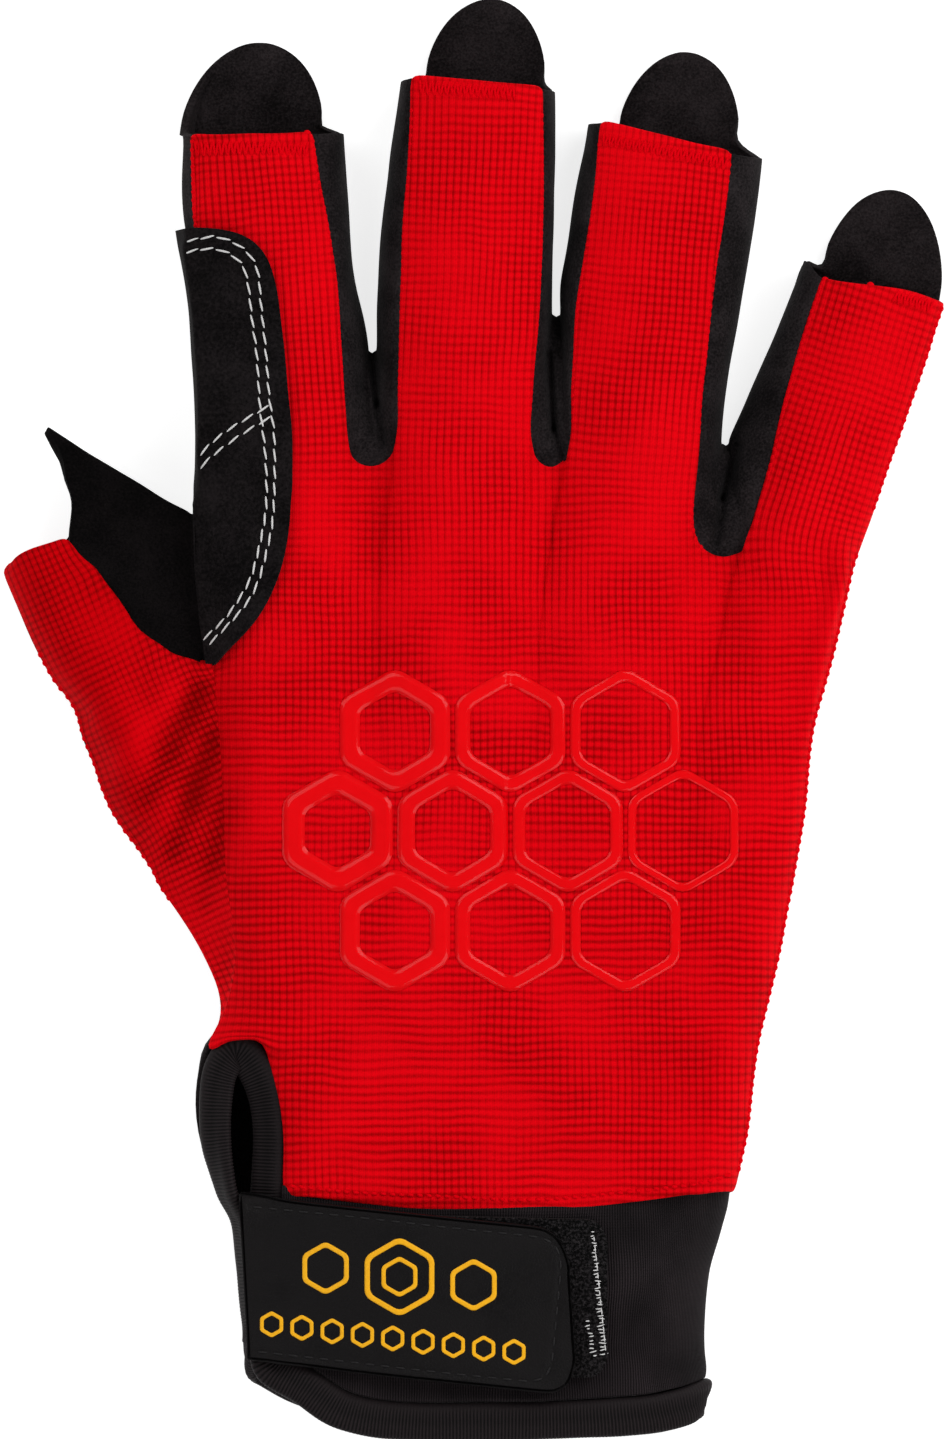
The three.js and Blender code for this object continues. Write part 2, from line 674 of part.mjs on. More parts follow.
function thumbRing(away) {
  const ring = [];
  for (let i = 0; i < knitSteps; i += 1) {
    const share = i / knitSteps;
    const eased = lerp(share, share ** 1.5, away);
    const p = patchPoint(eased, away, (s) => alongSkin(knitBase, s), hemLine, outerSeam, innerSeam);
    p.z += thumbHemRise * Math.sin(Math.PI * share ** 0.75) * Math.sin(Math.PI * away) * 0.9;
    ring.push(p);
  }
  for (let i = 0; i < flapSteps; i += 1) {
    const share = i / flapSteps;
    ring.push(patchPoint(share, away, (s) => alongSkin(flapBase, s), flapLine, innerSeam, foldEdge));
  }
  for (let i = 0; i < underSteps; i += 1) {
    const share = i / underSteps;
    const p = patchPoint(share, away, (s) => alongSkin(underBase, s), underLine, foldEdge, outerSeam);
    const curl = share < 0.5 ? foldEdge(away).z * (1 - share) ** 9 : outerSeam(away).z * share ** 9;
    p.z = Math.max(curl, 0);
    ring.push(p);
  }
  return ring;
}

const thumbRings = [thumbBase];
for (const away of thumbRows) thumbRings.push(addPoints(thumbRing(away)));
for (let row = 0; row < thumbRows.length; row += 1) {
  const near = [...thumbRings[row], thumbRings[row][0]];
  const far = [...thumbRings[row + 1], thumbRings[row + 1][0]];
  addFaces("thumb_back", near.slice(0, knitSteps + 1), far.slice(0, knitSteps + 1));
  addFaces("thumb_front", near.slice(knitSteps), far.slice(knitSteps));
}

// Outward direction at every point of a set of faces.
function pointNormals(points, faces) {
  const normals = points.map(() => point(0, 0, 0));
  for (const [a, b, c, d] of faces) {
    const cross = points[c].clone().sub(points[a]).cross(points[d].clone().sub(points[b]));
    for (const index of [a, b, c, d]) normals[index].add(cross);
  }
  return normals.map((n) => n.normalize());
}

// A closed wall between two offsets of a set of faces. Its edges are drawn back, which leaves a gap at seams.
function wallGeometry(points, faces, normals, inner, outer, drawBack = seamGap / 2) {
  const edges = new Map();
  for (const face of faces) {
    face.forEach((from, i) => {
      const to = face[(i + 1) % 4];
      const back = `${to},${from}`;
      if (edges.has(back)) edges.delete(back);
      else edges.set(`${from},${to}`, { from, to, face });
    });
  }
  const pull = new Map();
  for (const { from, to, face } of edges.values()) {
    const [a, b, c, d] = face.map((index) => points[index]);
    const up = c.clone().sub(a).cross(d.clone().sub(b)).normalize();
    const inward = up.cross(points[to].clone().sub(points[from])).normalize();
    for (const index of [from, to]) pull.set(index, (pull.get(index) ?? point(0, 0, 0)).add(inward));
  }
  const place = (index, offset) => {
    const p = points[index].clone().addScaledVector(normals[index], offset);
    const inward = pull.get(index);
    if (inward) p.addScaledVector(inward, (drawBack * 2) / Math.max(inward.lengthSq(), 1));
    p.z = Math.max(p.z, 0);
    return p;
  };
  const triangles = [];
  const addQuad = (p, q, r, s) => {
    if (p.distanceToSquared(r) < q.distanceToSquared(s)) triangles.push(p, q, r, p, r, s);
    else triangles.push(q, r, s, q, s, p);
  };
  for (const [a, b, c, d] of faces) {
    addQuad(place(a, outer), place(b, outer), place(c, outer), place(d, outer));
    addQuad(place(d, -inner), place(c, -inner), place(b, -inner), place(a, -inner));
  }
  for (const { from, to } of edges.values()) {
    addQuad(place(to, outer), place(from, outer), place(from, -inner), place(to, -inner));
  }
  return new THREE.BufferGeometry().setFromPoints(triangles);
}

const cloth = {
  red: new THREE.MeshStandardMaterial({ color: 0xd1060d, roughness: 0.85 }),
  suede: new THREE.MeshStandardMaterial({ color: 0x141214, roughness: 0.95 }),
  jersey: new THREE.MeshStandardMaterial({ color: 0x1b191a, roughness: 0.9 }),
  tape: new THREE.MeshStandardMaterial({ color: 0x121112, roughness: 0.7 }),
  strap: new THREE.MeshStandardMaterial({ color: 0x161516, roughness: 0.75 }),
  pile: new THREE.MeshStandardMaterial({ color: 0x1a1a1b, roughness: 0.8 }),
};

const glove = new THREE.Group();
function addPiece(name, geometry, material) {
  geometry.computeVertexNormals();
  const mesh = new THREE.Mesh(geometry, material);
  mesh.name = name;
  glove.add(mesh);
  return mesh;
}

const skinNormals = pointNormals(skin, Object.values(panels).flat());
const panelCloth = { back_panel: cloth.red, thumb_back: cloth.red };
for (const [name, faces] of Object.entries(panels)) {
  const wall = panelCloth[name] ? knitWall : suedeWall;
  addPiece(name, wallGeometry(skin, faces, skinNormals, wall, 0), panelCloth[name] ?? cloth.suede);
}

// Reinforcing patch over the side of the index finger and the hand. Its rows follow the skin's: each starts
// on the side wall, crosses the seam and ends on the back.
const patchEnds = [
  { row: 5.5, reach: 0.05, start: 0.75 },
  { row: 5.4, reach: 0.27, start: 0.75 },
  { row: 5.0, reach: 0.46, start: 0.75 },
  { row: 4.2, reach: 0.55, start: 0.75 },
  { row: 3, reach: 0.57, start: 0.75 },
  { row: 2, reach: 0.58, start: 0.75 },
  { row: 1, reach: 0.585, start: 0.75 },
  { row: 0, reach: 0.6, start: 0.75 },
  { row: -1, reach: 0.62, start: 0.75 },
  { row: -1.5, reach: 0.63, start: 0.4 },
  { row: -2, reach: 0.64, start: 0.0 },
  { row: -2.6, reach: 0.6, start: 0.0 },
  { row: -3.2, reach: 0.46, start: 0.0 },
  { row: -3.65, reach: 0.24, start: 0.0 },
  { row: -3.9, reach: 0.07, start: 0.0 },
];
const patchWallColumns = [0.75, 1, 2];
const patchFullWall = 0.75;
const patchBackColumns = 4;

// The skin's points across the index side at one of its rows: the wall up to the seam, then the back.
function sectionAcross(row) {
  const onHand = row < 0;
  const backRow = onHand ? backHand[handRows + row] : backFingers[0][row];
  const backPart = backRow.slice(0, backColumns + 1);
  const palmRow = onHand ? palmHand[handRows + row] : palmFingers[0][row];
  const wallPart = row >= webRow - handRows ? palmRow.slice(1, wallProfile.length + 1).reverse() : [];
  const gap = wallProfile.length - wallPart.length;
  return [...Array(gap).fill(backPart[0]), ...wallPart, ...backPart];
}

function patchPlace(row, column) {
  const low = Math.floor(row);
  const blend = row - low;
  const rowA = sectionAcross(low);
  const rowB = blend > 0 ? sectionAcross(low + 1) : rowA;
  const step = Math.min(Math.floor(column), rowA.length - 2);
  const within = column - step;
  const read = (list) =>
    mix(
      mix(list[rowA[step]], list[rowA[step + 1]], within),
      mix(list[rowB[step]], list[rowB[step + 1]], within),
      blend,
    );
  return { place: read(skin), normal: read(skinNormals).normalize() };
}

const patchPoints = [];
const patchNormals = [];
const patchRows = patchEnds.map((end) => {
  const seamColumn = wallProfile.length;
  const columns = [];
  for (const column of patchWallColumns) {
    columns.push(seamColumn - (seamColumn - column) * (Math.max(end.start, 0.02) / patchFullWall));
  }
  for (let i = 0; i <= patchBackColumns; i += 1) {
    columns.push(seamColumn + backColumns * Math.max(end.reach, 0.05) * (i / patchBackColumns));
  }
  return columns.map((column) => {
    const { place, normal } = patchPlace(end.row, column);
    patchNormals.push(normal);
    return patchPoints.push(place) - 1;
  });
});
const patchFaces = [];
for (let i = 0; i + 1 < patchRows.length; i += 1) addFacesTo(patchFaces, patchRows[i + 1], patchRows[i]);
const patchTop = patchLift + patchWall;
const patchGeometry = wallGeometry(patchPoints, patchFaces, patchNormals, -patchLift, patchTop, 0);
addPiece("index_patch", patchGeometry, cloth.suede);

// Cuff: a knitted band round the wrist, open at the slit. The loop starts at the slit's edge on the back and
// goes round by the little finger's side and under the wrist. Ends is the share of the cuff's length.
const cuffLoop = [
  { across: -0.388, height: 0.86, ends: 0.77 },
  { across: -0.33, height: 0.92, ends: 0.85 },
  { across: -0.25, height: 0.96, ends: 0.96 },
  { across: -0.12, height: 0.99, ends: 1 },
  { across: 0.05, height: 1, ends: 1 },
  { across: 0.22, height: 0.97, ends: 0.99 },
  { across: 0.35, height: 0.9, ends: 0.97 },
  { across: 0.44, height: 0.74, ends: 0.935 },
  { across: 0.492, height: 0.52, ends: 0.9 },
  { across: 0.496, height: 0.3, ends: 0.9 },
  { across: 0.46, height: 0.12, ends: 0.925 },
  { across: 0.38, height: 0.08, ends: 0.965 },
  { across: 0.13, height: 0.07, ends: 1 },
  { across: -0.13, height: 0.07, ends: 0.99 },
  { across: -0.33, height: 0.08, ends: 0.87 },
  { across: -0.43, height: 0.12, ends: 0.77 },
  { across: -0.478, height: 0.2, ends: 0.735 },
  { across: -0.488, height: 0.31, ends: 0.727 },
  { across: -0.484, height: 0.43, ends: 0.725 },
];
const cuffLevels = [
  { down: 0, left: 0.553, right: 0.546, height: 1 },
  { down: 0.2, left: 0.524, right: 0.527, height: 0.97 },
  { down: 0.45, left: 0.511, right: 0.508, height: 0.93 },
  { down: 0.75, left: 0.5, right: 0.499, height: 0.91 },
  { down: 0.92, left: 0.494, right: 0.503, height: 0.92 },
  { down: 1, left: 0.494, right: 0.496, height: 0.95 },
];
const cuffPoint = (column, level) => {
  const flare = (2 * (column.across < 0 ? level.left : level.right) - 1) * Math.abs(2 * column.across) ** 6;
  const across = cuffCentre + column.across * (1 + flare) * cuffWidth;
  const top = -cuffSeamSag * Math.sin(Math.PI * clamp(column.across + 0.5, 0, 1)) - seamGap;
  const bottom = -cuffLength * column.ends;
  const height = (wristHeight - cuffTuck) * level.height * column.height;
  return point(across, lerp(top, bottom, level.down), height);
};
const cuffPoints = [];
const cuffRows = cuffLevels.map((level) =>
  cuffLoop.map((column) => cuffPoints.push(cuffPoint(column, level)) - 1),
);
const cuffFaces = [];
for (let i = 0; i + 1 < cuffRows.length; i += 1) addFacesTo(cuffFaces, cuffRows[i + 1], cuffRows[i]);
const cuffNormals = pointNormals(cuffPoints, cuffFaces);
const cuff = addPiece("cuff", wallGeometry(cuffPoints, cuffFaces, cuffNormals, knitWall, 0, 0), cloth.jersey);

// One tape binds all the open edges: round the cuff's lower edge, up the slit's palm side, over its end and
// down its other side. Each stop is a point on a cloth edge, with the way the cloth faces there.
const stopAt = (index, points, normals, wall) => ({ place: points[index], facing: normals[index], wall });
const cuffStop = (index) => stopAt(index, cuffPoints, cuffNormals, knitWall);
const slitStop = (row) => stopAt(row[0], skin, skinNormals, suedeWall);
const cuffSide = (column) => cuffRows.slice(1, -1).map((row) => cuffStop(row.at(column)));
const turnFacing = point(-0.35, 0, 0.93).normalize();
const tapeStops = [
  ...cuffRows.at(-1).map(cuffStop),
  ...cuffSide(-1).reverse(),
  ...palmHand.slice(0, 2).map(slitStop),
  ...slitTurn.map((turn) => ({ centre: onPalm(turn), place: onPalm(turn), facing: turnFacing })),
  ...backHand.slice(0, 2).reverse().map(slitStop),
  ...cuffSide(0),
];
const tapePath = tapeStops.map(({ centre, place, facing, wall }, i) => {
  if (centre) return centre;
  const before = tapeStops.at(i - 1).place;
  const after = tapeStops[(i + 1) % tapeStops.length].place;
  const away = after.clone().sub(before).normalize().cross(facing).normalize();
  const offset = -wall / 2 - tapeInset;
  const beside = place.clone().addScaledVector(away, tapeWidth / 2 + seamGap).addScaledVector(facing, offset);
  beside.z = Math.max(beside.z, tapeThickness / 2 + 0.1);
  return beside;
});
const smoothLoop = (points) => new THREE.CatmullRomCurve3(points, true, "catmullrom", 0.5);
const tapeCurve = smoothLoop(tapePath);
const facingCurve = smoothLoop(tapeStops.map((stop) => stop.facing));
const tapeSteps = tapeStops.length * 2;
const tapeSides = 8;

// A flat tape with rounded sides, swept along the path.
const tapeRings = Array.from({ length: tapeSteps }, (_, i) => {
  const centre = tapeCurve.getPoint(i / tapeSteps);
  const forward = tapeCurve.getTangent(i / tapeSteps);
  const facing = facingCurve.getPoint(i / tapeSteps);
  facing.addScaledVector(forward, -facing.dot(forward)).normalize();
  const sideways = forward.clone().cross(facing);
  return Array.from({ length: tapeSides }, (_, k) => {
    const angle = (2 * Math.PI * (k + 0.5)) / tapeSides;
    return centre
      .clone()
      .addScaledVector(sideways, (tapeWidth / 2) * squarer(Math.cos(angle), 0.7))
      .addScaledVector(facing, (tapeThickness / 2) * squarer(Math.sin(angle), 0.7));
  });
});
const tapeTriangles = [];
tapeRings.forEach((ring, i) => {
  const nextRing = tapeRings[(i + 1) % tapeSteps];
  for (let k = 0; k < tapeSides; k += 1) {
    const next = (k + 1) % tapeSides;
    tapeTriangles.push(ring[k], nextRing[k], nextRing[next], ring[k], nextRing[next], ring[next]);
  }
});
const tape = addPiece("edge_tape", new THREE.BufferGeometry().setFromPoints(tapeTriangles), cloth.tape);

// A sheet with rounded corners at its far end, laid over other pieces from above.
const sheetColumns = [0, 0.09, 0.18, 0.3, 0.45, 0.6, 0.75, 0.9, 0.945, 0.98, 1];
const sheetRows = [0, 0.1, 0.36, 0.64, 0.9, 1];
function layOver(sheet, under, liftAt, startHeight = 0) {
  const caster = new THREE.Raycaster();
  const turn = radians(sheet.tilt);
  const corner = onPalm(sheet);
  const points = [];
  const rows = sheetRows.map((down) =>
    sheetColumns.map((reach) => {
      const past = Math.max(reach * sheet.length - (sheet.length - sheet.corner), 0);
      const cut = sheet.corner - Math.sqrt(sheet.corner ** 2 - past ** 2);
      const away = reach * sheet.length;
      const below = lerp(cut, sheet.width - cut, down);
      const x = corner.x + Math.cos(turn) * away + sheet.lean * below;
      const y = corner.y + Math.sin(turn) * away - below;
      caster.set(point(x, y, 100), point(0, 0, -1));
      const hit = caster.intersectObjects(under)[0];
      const bridge = startHeight ? startHeight + Math.min(reach, 0.2) * 8 : 0;
      return points.push(point(x, y, Math.max((hit ? hit.point.z : 0) + liftAt(reach), bridge))) - 1;
    }),
  );
  const faces = [];
  for (let i = 0; i + 1 < rows.length; i += 1) addFacesTo(faces, rows[i + 1], rows[i]);
  return { points, faces, normals: pointNormals(points, faces) };
}
const sheetWall = ({ points, faces, normals }, wall) => wallGeometry(points, faces, normals, 0, wall, 0);
addPiece("loop_pad", sheetWall(layOver(pad, [cuff], () => padLift), padWall), cloth.pile);
const overPad = padLift + padWall + seamGap;
const strapLiftAt = (reach) => lerp(strapLift, overPad, THREE.MathUtils.smoothstep(reach, 0.26, 0.4));
addPiece("strap", sheetWall(layOver(strap, [cuff, tape], strapLiftAt, strapStart), strapWall), cloth.strap);

// The part's origin is the middle of its footprint on the table.
glove.updateMatrixWorld(true);
const bounds = new THREE.Box3().setFromObject(glove);
const middle = bounds.getCenter(point(0, 0, 0));
glove.position.set(-middle.x, -middle.y, -bounds.min.z);

export default glove;
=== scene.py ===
# %% [markdown]
# # A climbing glove, dressed over its frame
# The glove lies palm down: red ribbed knit on the back, black suede on the palm, between the fingers and on
# the thumb, a black rib-knit cuff, and a strap that closes the slit at the wrist. The frame gives each
# cloth panel as a plain shell. This lesson turns every shell into cloth, sews on the threads, and lights
# it.

import math

import bmesh
import bpy
import numpy as np
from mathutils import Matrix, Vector, noise
from mathutils.bvhtree import BVHTree


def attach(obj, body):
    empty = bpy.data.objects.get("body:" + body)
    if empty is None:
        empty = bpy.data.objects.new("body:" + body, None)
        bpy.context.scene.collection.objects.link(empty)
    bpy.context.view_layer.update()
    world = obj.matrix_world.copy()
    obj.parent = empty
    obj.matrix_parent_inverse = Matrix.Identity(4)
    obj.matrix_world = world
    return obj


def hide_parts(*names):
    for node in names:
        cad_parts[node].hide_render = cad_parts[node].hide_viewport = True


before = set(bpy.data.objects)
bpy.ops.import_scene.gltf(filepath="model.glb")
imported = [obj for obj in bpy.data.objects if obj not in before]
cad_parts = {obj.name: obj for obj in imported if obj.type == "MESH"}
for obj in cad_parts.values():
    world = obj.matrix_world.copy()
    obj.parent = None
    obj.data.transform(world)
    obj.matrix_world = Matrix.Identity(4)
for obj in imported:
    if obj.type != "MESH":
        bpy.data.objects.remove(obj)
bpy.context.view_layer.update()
MM = 0.001
print("nodes:", sorted(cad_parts))

# %% [markdown]
# ## Camera
# The picture is taken from straight above, so the sides of the fingers hardly show. A long lens from far
# away keeps the tall parts of the glove from looking larger than the flat ones. The picture is 946 by 1439
# points. A small helper turns a point of it into a place in the frame, in millimetres.

# %% Camera and picture places
POINT_SIZE = 0.165  # millimetres of glove in one point of the picture
PICTURE_HEIGHT = 1439
FRAME_MIDDLE = (473, 718.65)  # the point of the picture that shows the middle of the frame
CAMERA_HEIGHT = 3.0
CAMERA_DOWN = -0.14  # millimetres from the middle of the frame to the middle of the picture
SENSOR_HEIGHT = 24


def place(across, down):
    """Millimetres in the frame for a point of the picture."""
    return np.array([(across - FRAME_MIDDLE[0]) * POINT_SIZE, (FRAME_MIDDLE[1] - down) * POINT_SIZE])


camera_data = bpy.data.cameras.new("camera")
camera_data.sensor_fit = "VERTICAL"
camera_data.sensor_height = SENSOR_HEIGHT
camera_data.lens = SENSOR_HEIGHT * CAMERA_HEIGHT / (PICTURE_HEIGHT * POINT_SIZE * MM)
camera_data.clip_end = 20
camera = bpy.data.objects.new("camera", camera_data)
camera.location = (0, CAMERA_DOWN * MM, CAMERA_HEIGHT)
bpy.context.scene.collection.objects.link(camera)
bpy.context.scene.camera = camera
print("lens", round(camera_data.lens))

# %% [markdown]
# ## Light and floor
# The picture is a studio shot on white, with hardly a shadow. Four soft lights stand round the glove, none
# of them overhead, because a lamp above a black glove would shine back at the camera and turn it grey. The
# two on the right are the stronger ones, so that the thumb is a little darker and its folds show. The floor
# is a light table: it glows softly, which takes the shadows away.

# %% Light and floor
WORLD_GLOW = 0.19
LIGHT_SIZE = 1.1
LIGHTS = [
    # name, place in metres, power in watts
    ("upper_left", (-0.85, 0.85, 0.95), 7.5),
    ("upper_right", (0.9, 0.75, 0.95), 12.6),
    ("lower_left", (-0.85, -0.8, 0.95), 5.2),
    ("lower_right", (0.85, -0.85, 0.95), 8.6),
]
FLOOR_SIZE = 3
FLOOR_DROP = 0.2  # the floor lies this far below the glove, in millimetres
scene = bpy.context.scene
scene.view_settings.view_transform = "Standard"
world = bpy.data.worlds.new("studio")
world.use_nodes = True
world.node_tree.nodes["Background"].inputs["Color"].default_value = (1, 1, 1, 1)
world.node_tree.nodes["Background"].inputs["Strength"].default_value = WORLD_GLOW
scene.world = world

for name, spot, power in LIGHTS:
    light = bpy.data.lights.new(name, "AREA")
    light.size = LIGHT_SIZE
    light.energy = power
    lamp = bpy.data.objects.new(name, light)
    lamp.location = spot
    lamp.rotation_euler = (-Vector(spot)).to_track_quat("-Z", "Y").to_euler()
    scene.collection.objects.link(lamp)

bpy.ops.object.select_all(action="DESELECT")
bpy.ops.mesh.primitive_plane_add(size=FLOOR_SIZE, location=(0, 0, -FLOOR_DROP * MM))
floor = bpy.context.object
floor.name = "floor"
print("lights:", [row[0] for row in LIGHTS])

# %% [markdown]
# ## Tools for cloth
# A panel of the frame is a copy of loose triangles, so its doubles are merged and its triangles paired into
# four-sided faces. Subdividing such a mesh makes it smooth, but it also pulls the corners inwards and the
# glove would shrink. So the corners are first pushed out a few times by as much as they fell short, and the
# smooth surface ends up going through the places that the frame gives.

# %% Copy a panel and smooth it
WELD = 0.00001
PAIR_ANGLE = math.radians(60)
RIM_ANGLE = math.radians(55)


def points_of(mesh):
    """The mesh's points as rows of millimetres."""
    flat = np.empty(len(mesh.vertices) * 3)
    mesh.vertices.foreach_get("co", flat)
    return flat.reshape(-1, 3) / MM


def set_points(mesh, points):
    """Moves the mesh's points to these rows of millimetres."""
    mesh.vertices.foreach_set("co", (np.asarray(points) * MM).ravel())
    mesh.update()


def pick(piece):
    """Selects a piece and nothing else."""
    bpy.ops.object.select_all(action="DESELECT")
    bpy.context.view_layer.objects.active = piece
    piece.select_set(True)


def edit_all(piece):
    """Opens a piece in edit mode with all of it selected."""
    pick(piece)
    bpy.ops.object.mode_set(mode="EDIT")
    bpy.ops.mesh.select_all(action="SELECT")


def copy_panel(node):
    """A copy of a panel of the frame, welded and in four-sided faces."""
    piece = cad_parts[node].copy()
    piece.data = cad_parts[node].data.copy()
    for key in list(piece.keys()):
        del piece[key]
    piece.parent = None
    piece.name = piece.data.name = node + "_cloth"
    piece.data.materials.clear()
    scene.collection.objects.link(piece)
    edit_all(piece)
    bpy.ops.mesh.remove_doubles(threshold=WELD)
    bpy.ops.mesh.tris_convert_to_quads(face_threshold=PAIR_ANGLE, shape_threshold=PAIR_ANGLE)
    bpy.ops.object.mode_set(mode="OBJECT")
    return piece


def crease_rims(piece, sharpness):
    """Keeps the cut edges of a panel from rounding away."""
    shape = bmesh.new()
    shape.from_mesh(piece.data)
    layer = shape.edges.layers.float.get("crease_edge") or shape.edges.layers.float.new("crease_edge")
    for edge in shape.edges:
        if len(edge.link_faces) == 2 and edge.calc_face_angle(0) > RIM_ANGLE:
            edge[layer] = sharpness
    shape.to_mesh(piece.data)
    shape.free()


def smooth_panel(piece, levels, rounds=3):
    """Subdivides a panel, so that it still goes through the places that the frame gives."""
    corners = points_of(piece.data)
    cage = corners.copy()
    smooth = piece.modifiers.new("smooth", "SUBSURF")
    smooth.levels = smooth.render_levels = 1
    for _ in range(rounds):
        bpy.context.view_layer.update()
        reached = piece.evaluated_get(bpy.context.evaluated_depsgraph_get()).to_mesh()
        cage += corners - points_of(reached)[: len(corners)]
        piece.evaluated_get(bpy.context.evaluated_depsgraph_get()).to_mesh_clear()
        set_points(piece.data, cage)
    smooth.levels = smooth.render_levels = levels
    pick(piece)
    bpy.ops.object.modifier_apply(modifier="smooth")
    bpy.ops.object.shade_smooth()


# %% [markdown]
# ## Soft unevenness
# Cloth is never as even as a drawing. One slow field of small shifts moves every panel, so the two faces of
# a panel and the panels beside it move together and no seam opens. On top of it, a short table of folds
# presses soft furrows into the back and the thumb, and how deep each point lies in them is kept for painted
# shade in the knit's folds and painted light on its ridges. What rests on the table stays flat. Blender
# starts its noise vectors from the clock, so the seed is set first, and the cloth falls the same way every
# time.

# %% The field of shifts and the folds
FIELD_SEED = 3
FIELD = [
    # grain and strength in millimetres: a slow field, and a quicker and weaker one on top of it
    (17.0, 0.34),
    (6.5, 0.1),
]
TABLE_FADE = (0.2, 4.0)  # heights between which the shifts set in
TOP_FADE = (3.5, 7.0)  # heights between which the folds set in
noise.seed_set(FIELD_SEED)
FOLDS = [
    # from, to, width, depth, in picture points and millimetres
    ((196, 700), (212, 860), 3.4, 0.7),
    ((150, 690), (190, 800), 2.6, 0.45),
    ((120, 640), (150, 760), 3.0, -0.35),
    ((226, 720), (236, 950), 3.0, 0.3),
    ((380, 462), (368, 560), 3.0, 0.45),
    ((546, 470), (548, 590), 3.2, 0.4),
    ((712, 560), (735, 660), 3.4, 0.55),
    ((745, 560), (800, 640), 3.0, 0.35),
    ((202, 690), (146, 800), 2.0, 1.5),
    ((180, 690), (120, 760), 1.8, -0.5),
    ((214, 740), (172, 852), 1.7, 1.1),
    ((228, 800), (205, 900), 1.9, 0.6),
    ((330, 1165), (560, 1150), 3.5, 0.3),
    ((372, 356), (378, 405), 0.6, 2.0),
    ((378, 405), (384, 443), 0.65, 1.4),
    ((365, 384), (372, 436), 0.5, 0.9),
    ((548, 356), (553, 430), 0.55, 1.9),
    ((553, 430), (562, 457), 0.55, 1.5),
    ((737, 446), (722, 500), 0.6, 2.0),
    ((722, 500), (716, 545), 0.65, 1.4),
    ((640, 1080), (745, 1040), 5.0, 0.3),
]
NUDGES = [
    # from, to, width, shift across and along in millimetres, and the heights between which it sets in
    ((190, 146), (188, 236), 1.6, 1.2, 0.0, 8.0, 12.0),
    ((66, 703), (76, 712), 2.6, 1.1, -0.2, -1.0, 0.0),
    ((140, 848), (146, 862), 3.2, 1.0, -0.2, -1.0, 0.0),
    ((102, 790), (112, 805), 2.6, -0.5, 0.1, -1.0, 0.0),
    ((-1, 558), (-1, 558), 1.7, 1.0, -0.9, -1.0, 0.0),
    ((211, 662), (211, 662), 2.4, 0.0, -1.1, 3.0, 6.0),
    ((95, 577), (156, 641), 3.3, 1.05, 0.85, 3.0, 6.0),
    ((72, 479), (72, 479), 2.6, -0.8, 0.0, -1.0, 0.0),
    ((222, 1047), (222, 1047), 4.0, -1.5, -0.3, 4.0, 7.0),
    ((238, 1052), (254, 1053), 2.4, 0.2, 1.9, 4.0, 7.0),
    ((797, 276), (797, 276), 3.0, 1.0, 2.4, -1.0, 0.0),
    ((715, 1270), (713, 1345), 6.0, -1.0, 0.0, -1.0, 0.0),
]


def ease(low, high, value):
    """A smooth step from 0 at low to 1 at high."""
    share = np.clip((value - low) / (high - low), 0, 1)
    return share * share * (3 - 2 * share)


def nearness(points, start, end, width):
    """How near each point lies in plan to a line between two picture points: 1 on it, and less beside it."""
    first, last = place(*start), place(*end)
    along = last - first
    share = np.clip(((points[:, :2] - first) @ along) / max(along @ along, 1e-9), 0, 1)
    off = np.linalg.norm(points[:, :2] - first - share[:, None] * along, axis=1)
    return np.exp(-((off / width) ** 2))


def keep_numbers(piece, name, values):
    """Keeps one number for each point, where a material can read it."""
    store = piece.data.attributes.new(name, "FLOAT", "POINT")
    store.data.foreach_set("value", np.asarray(values).astype(np.float32).ravel())


def soften(piece, nudges=NUDGES):
    """Moves a panel by the common field of shifts, presses in the folds, nudges the outline, and keeps how
    deep each point lies in the folds for painted shade.
    """
    points = points_of(piece.data)
    shifts = np.array([
        sum((noise.noise_vector(Vector(point) / grain) * strength for grain, strength in FIELD), Vector())
        for point in points.tolist()
    ])
    moved = points + shifts * ease(*TABLE_FADE, points[:, 2])[:, None]
    top = ease(*TOP_FADE, points[:, 2])
    furrow = np.zeros(len(points))
    for start, end, width, depth in FOLDS:
        near = nearness(points, start, end, width)
        moved[:, 2] -= depth * near * top
        # How deep each point lies in the folds, for painted shade in the knit's colour; ridges give painted
        # light.
        furrow += min(max(depth, -0.5), 1.0) * near
    for start, end, width, across, along, low, high in nudges:
        near = nearness(points, start, end, width) * ease(low, high, points[:, 2])
        moved[:, :2] += near[:, None] * (across, along)
    moved[:, 2] = np.maximum(moved[:, 2], 0)
    set_points(piece.data, moved)
    keep_numbers(piece, "furrow", furrow)


# %% [markdown]
# ## The lines of the knit
# The ribs of the red knit run across the hand, and they turn with each finger, because each finger is cut
# as part of the same cloth and leans its own way. So every point gets two numbers of its own: how far
# across and how far along the cloth it lies. They come from a table of axes, one for each finger, and blend
# into the straight lines of the hand below the fingers. The thumb is another piece of cloth, with an axis
# of its own.

# %% Cloth coordinates
AXES = [
    # root of the finger in millimetres, lean in degrees
    (-33.2, 47.2, -4.0),
    (-1.45, 47.2, 2.1),
    (26.6, 40.0, 5.1),
    (54.8, 32.0, 17.5),
]
WEBS = [
    # between one finger and the next: a place in millimetres, and how far the line leans to the right
    (-16.5, 40.0, 0.0),
    (12.5, 36.0, 0.05),
    (40.5, 28.0, 0.2),
]
THUMB_AXIS = (-67.0, 22.0, -25.0)
THUMB_SQUEEZE = 1.15  # the thumb's ribs lie closer together by this much
FINGER_ROOTS = ([-33, 0, 27, 55], [40, 40, 33, 22])  # across, and how high the fingers start there
ROOT_FADE = (-4, 14)  # the lines turn between these distances from the roots
BLEND_WIDTHS = (9.0, 1.5)  # millimetres over which two fingers' lines blend, in the hand and between fingers
SIDE_DROP = 3  # a tube's side starts this far below its top
SIDE_SHARE = 0.8  # how much of the side's height is rolled out


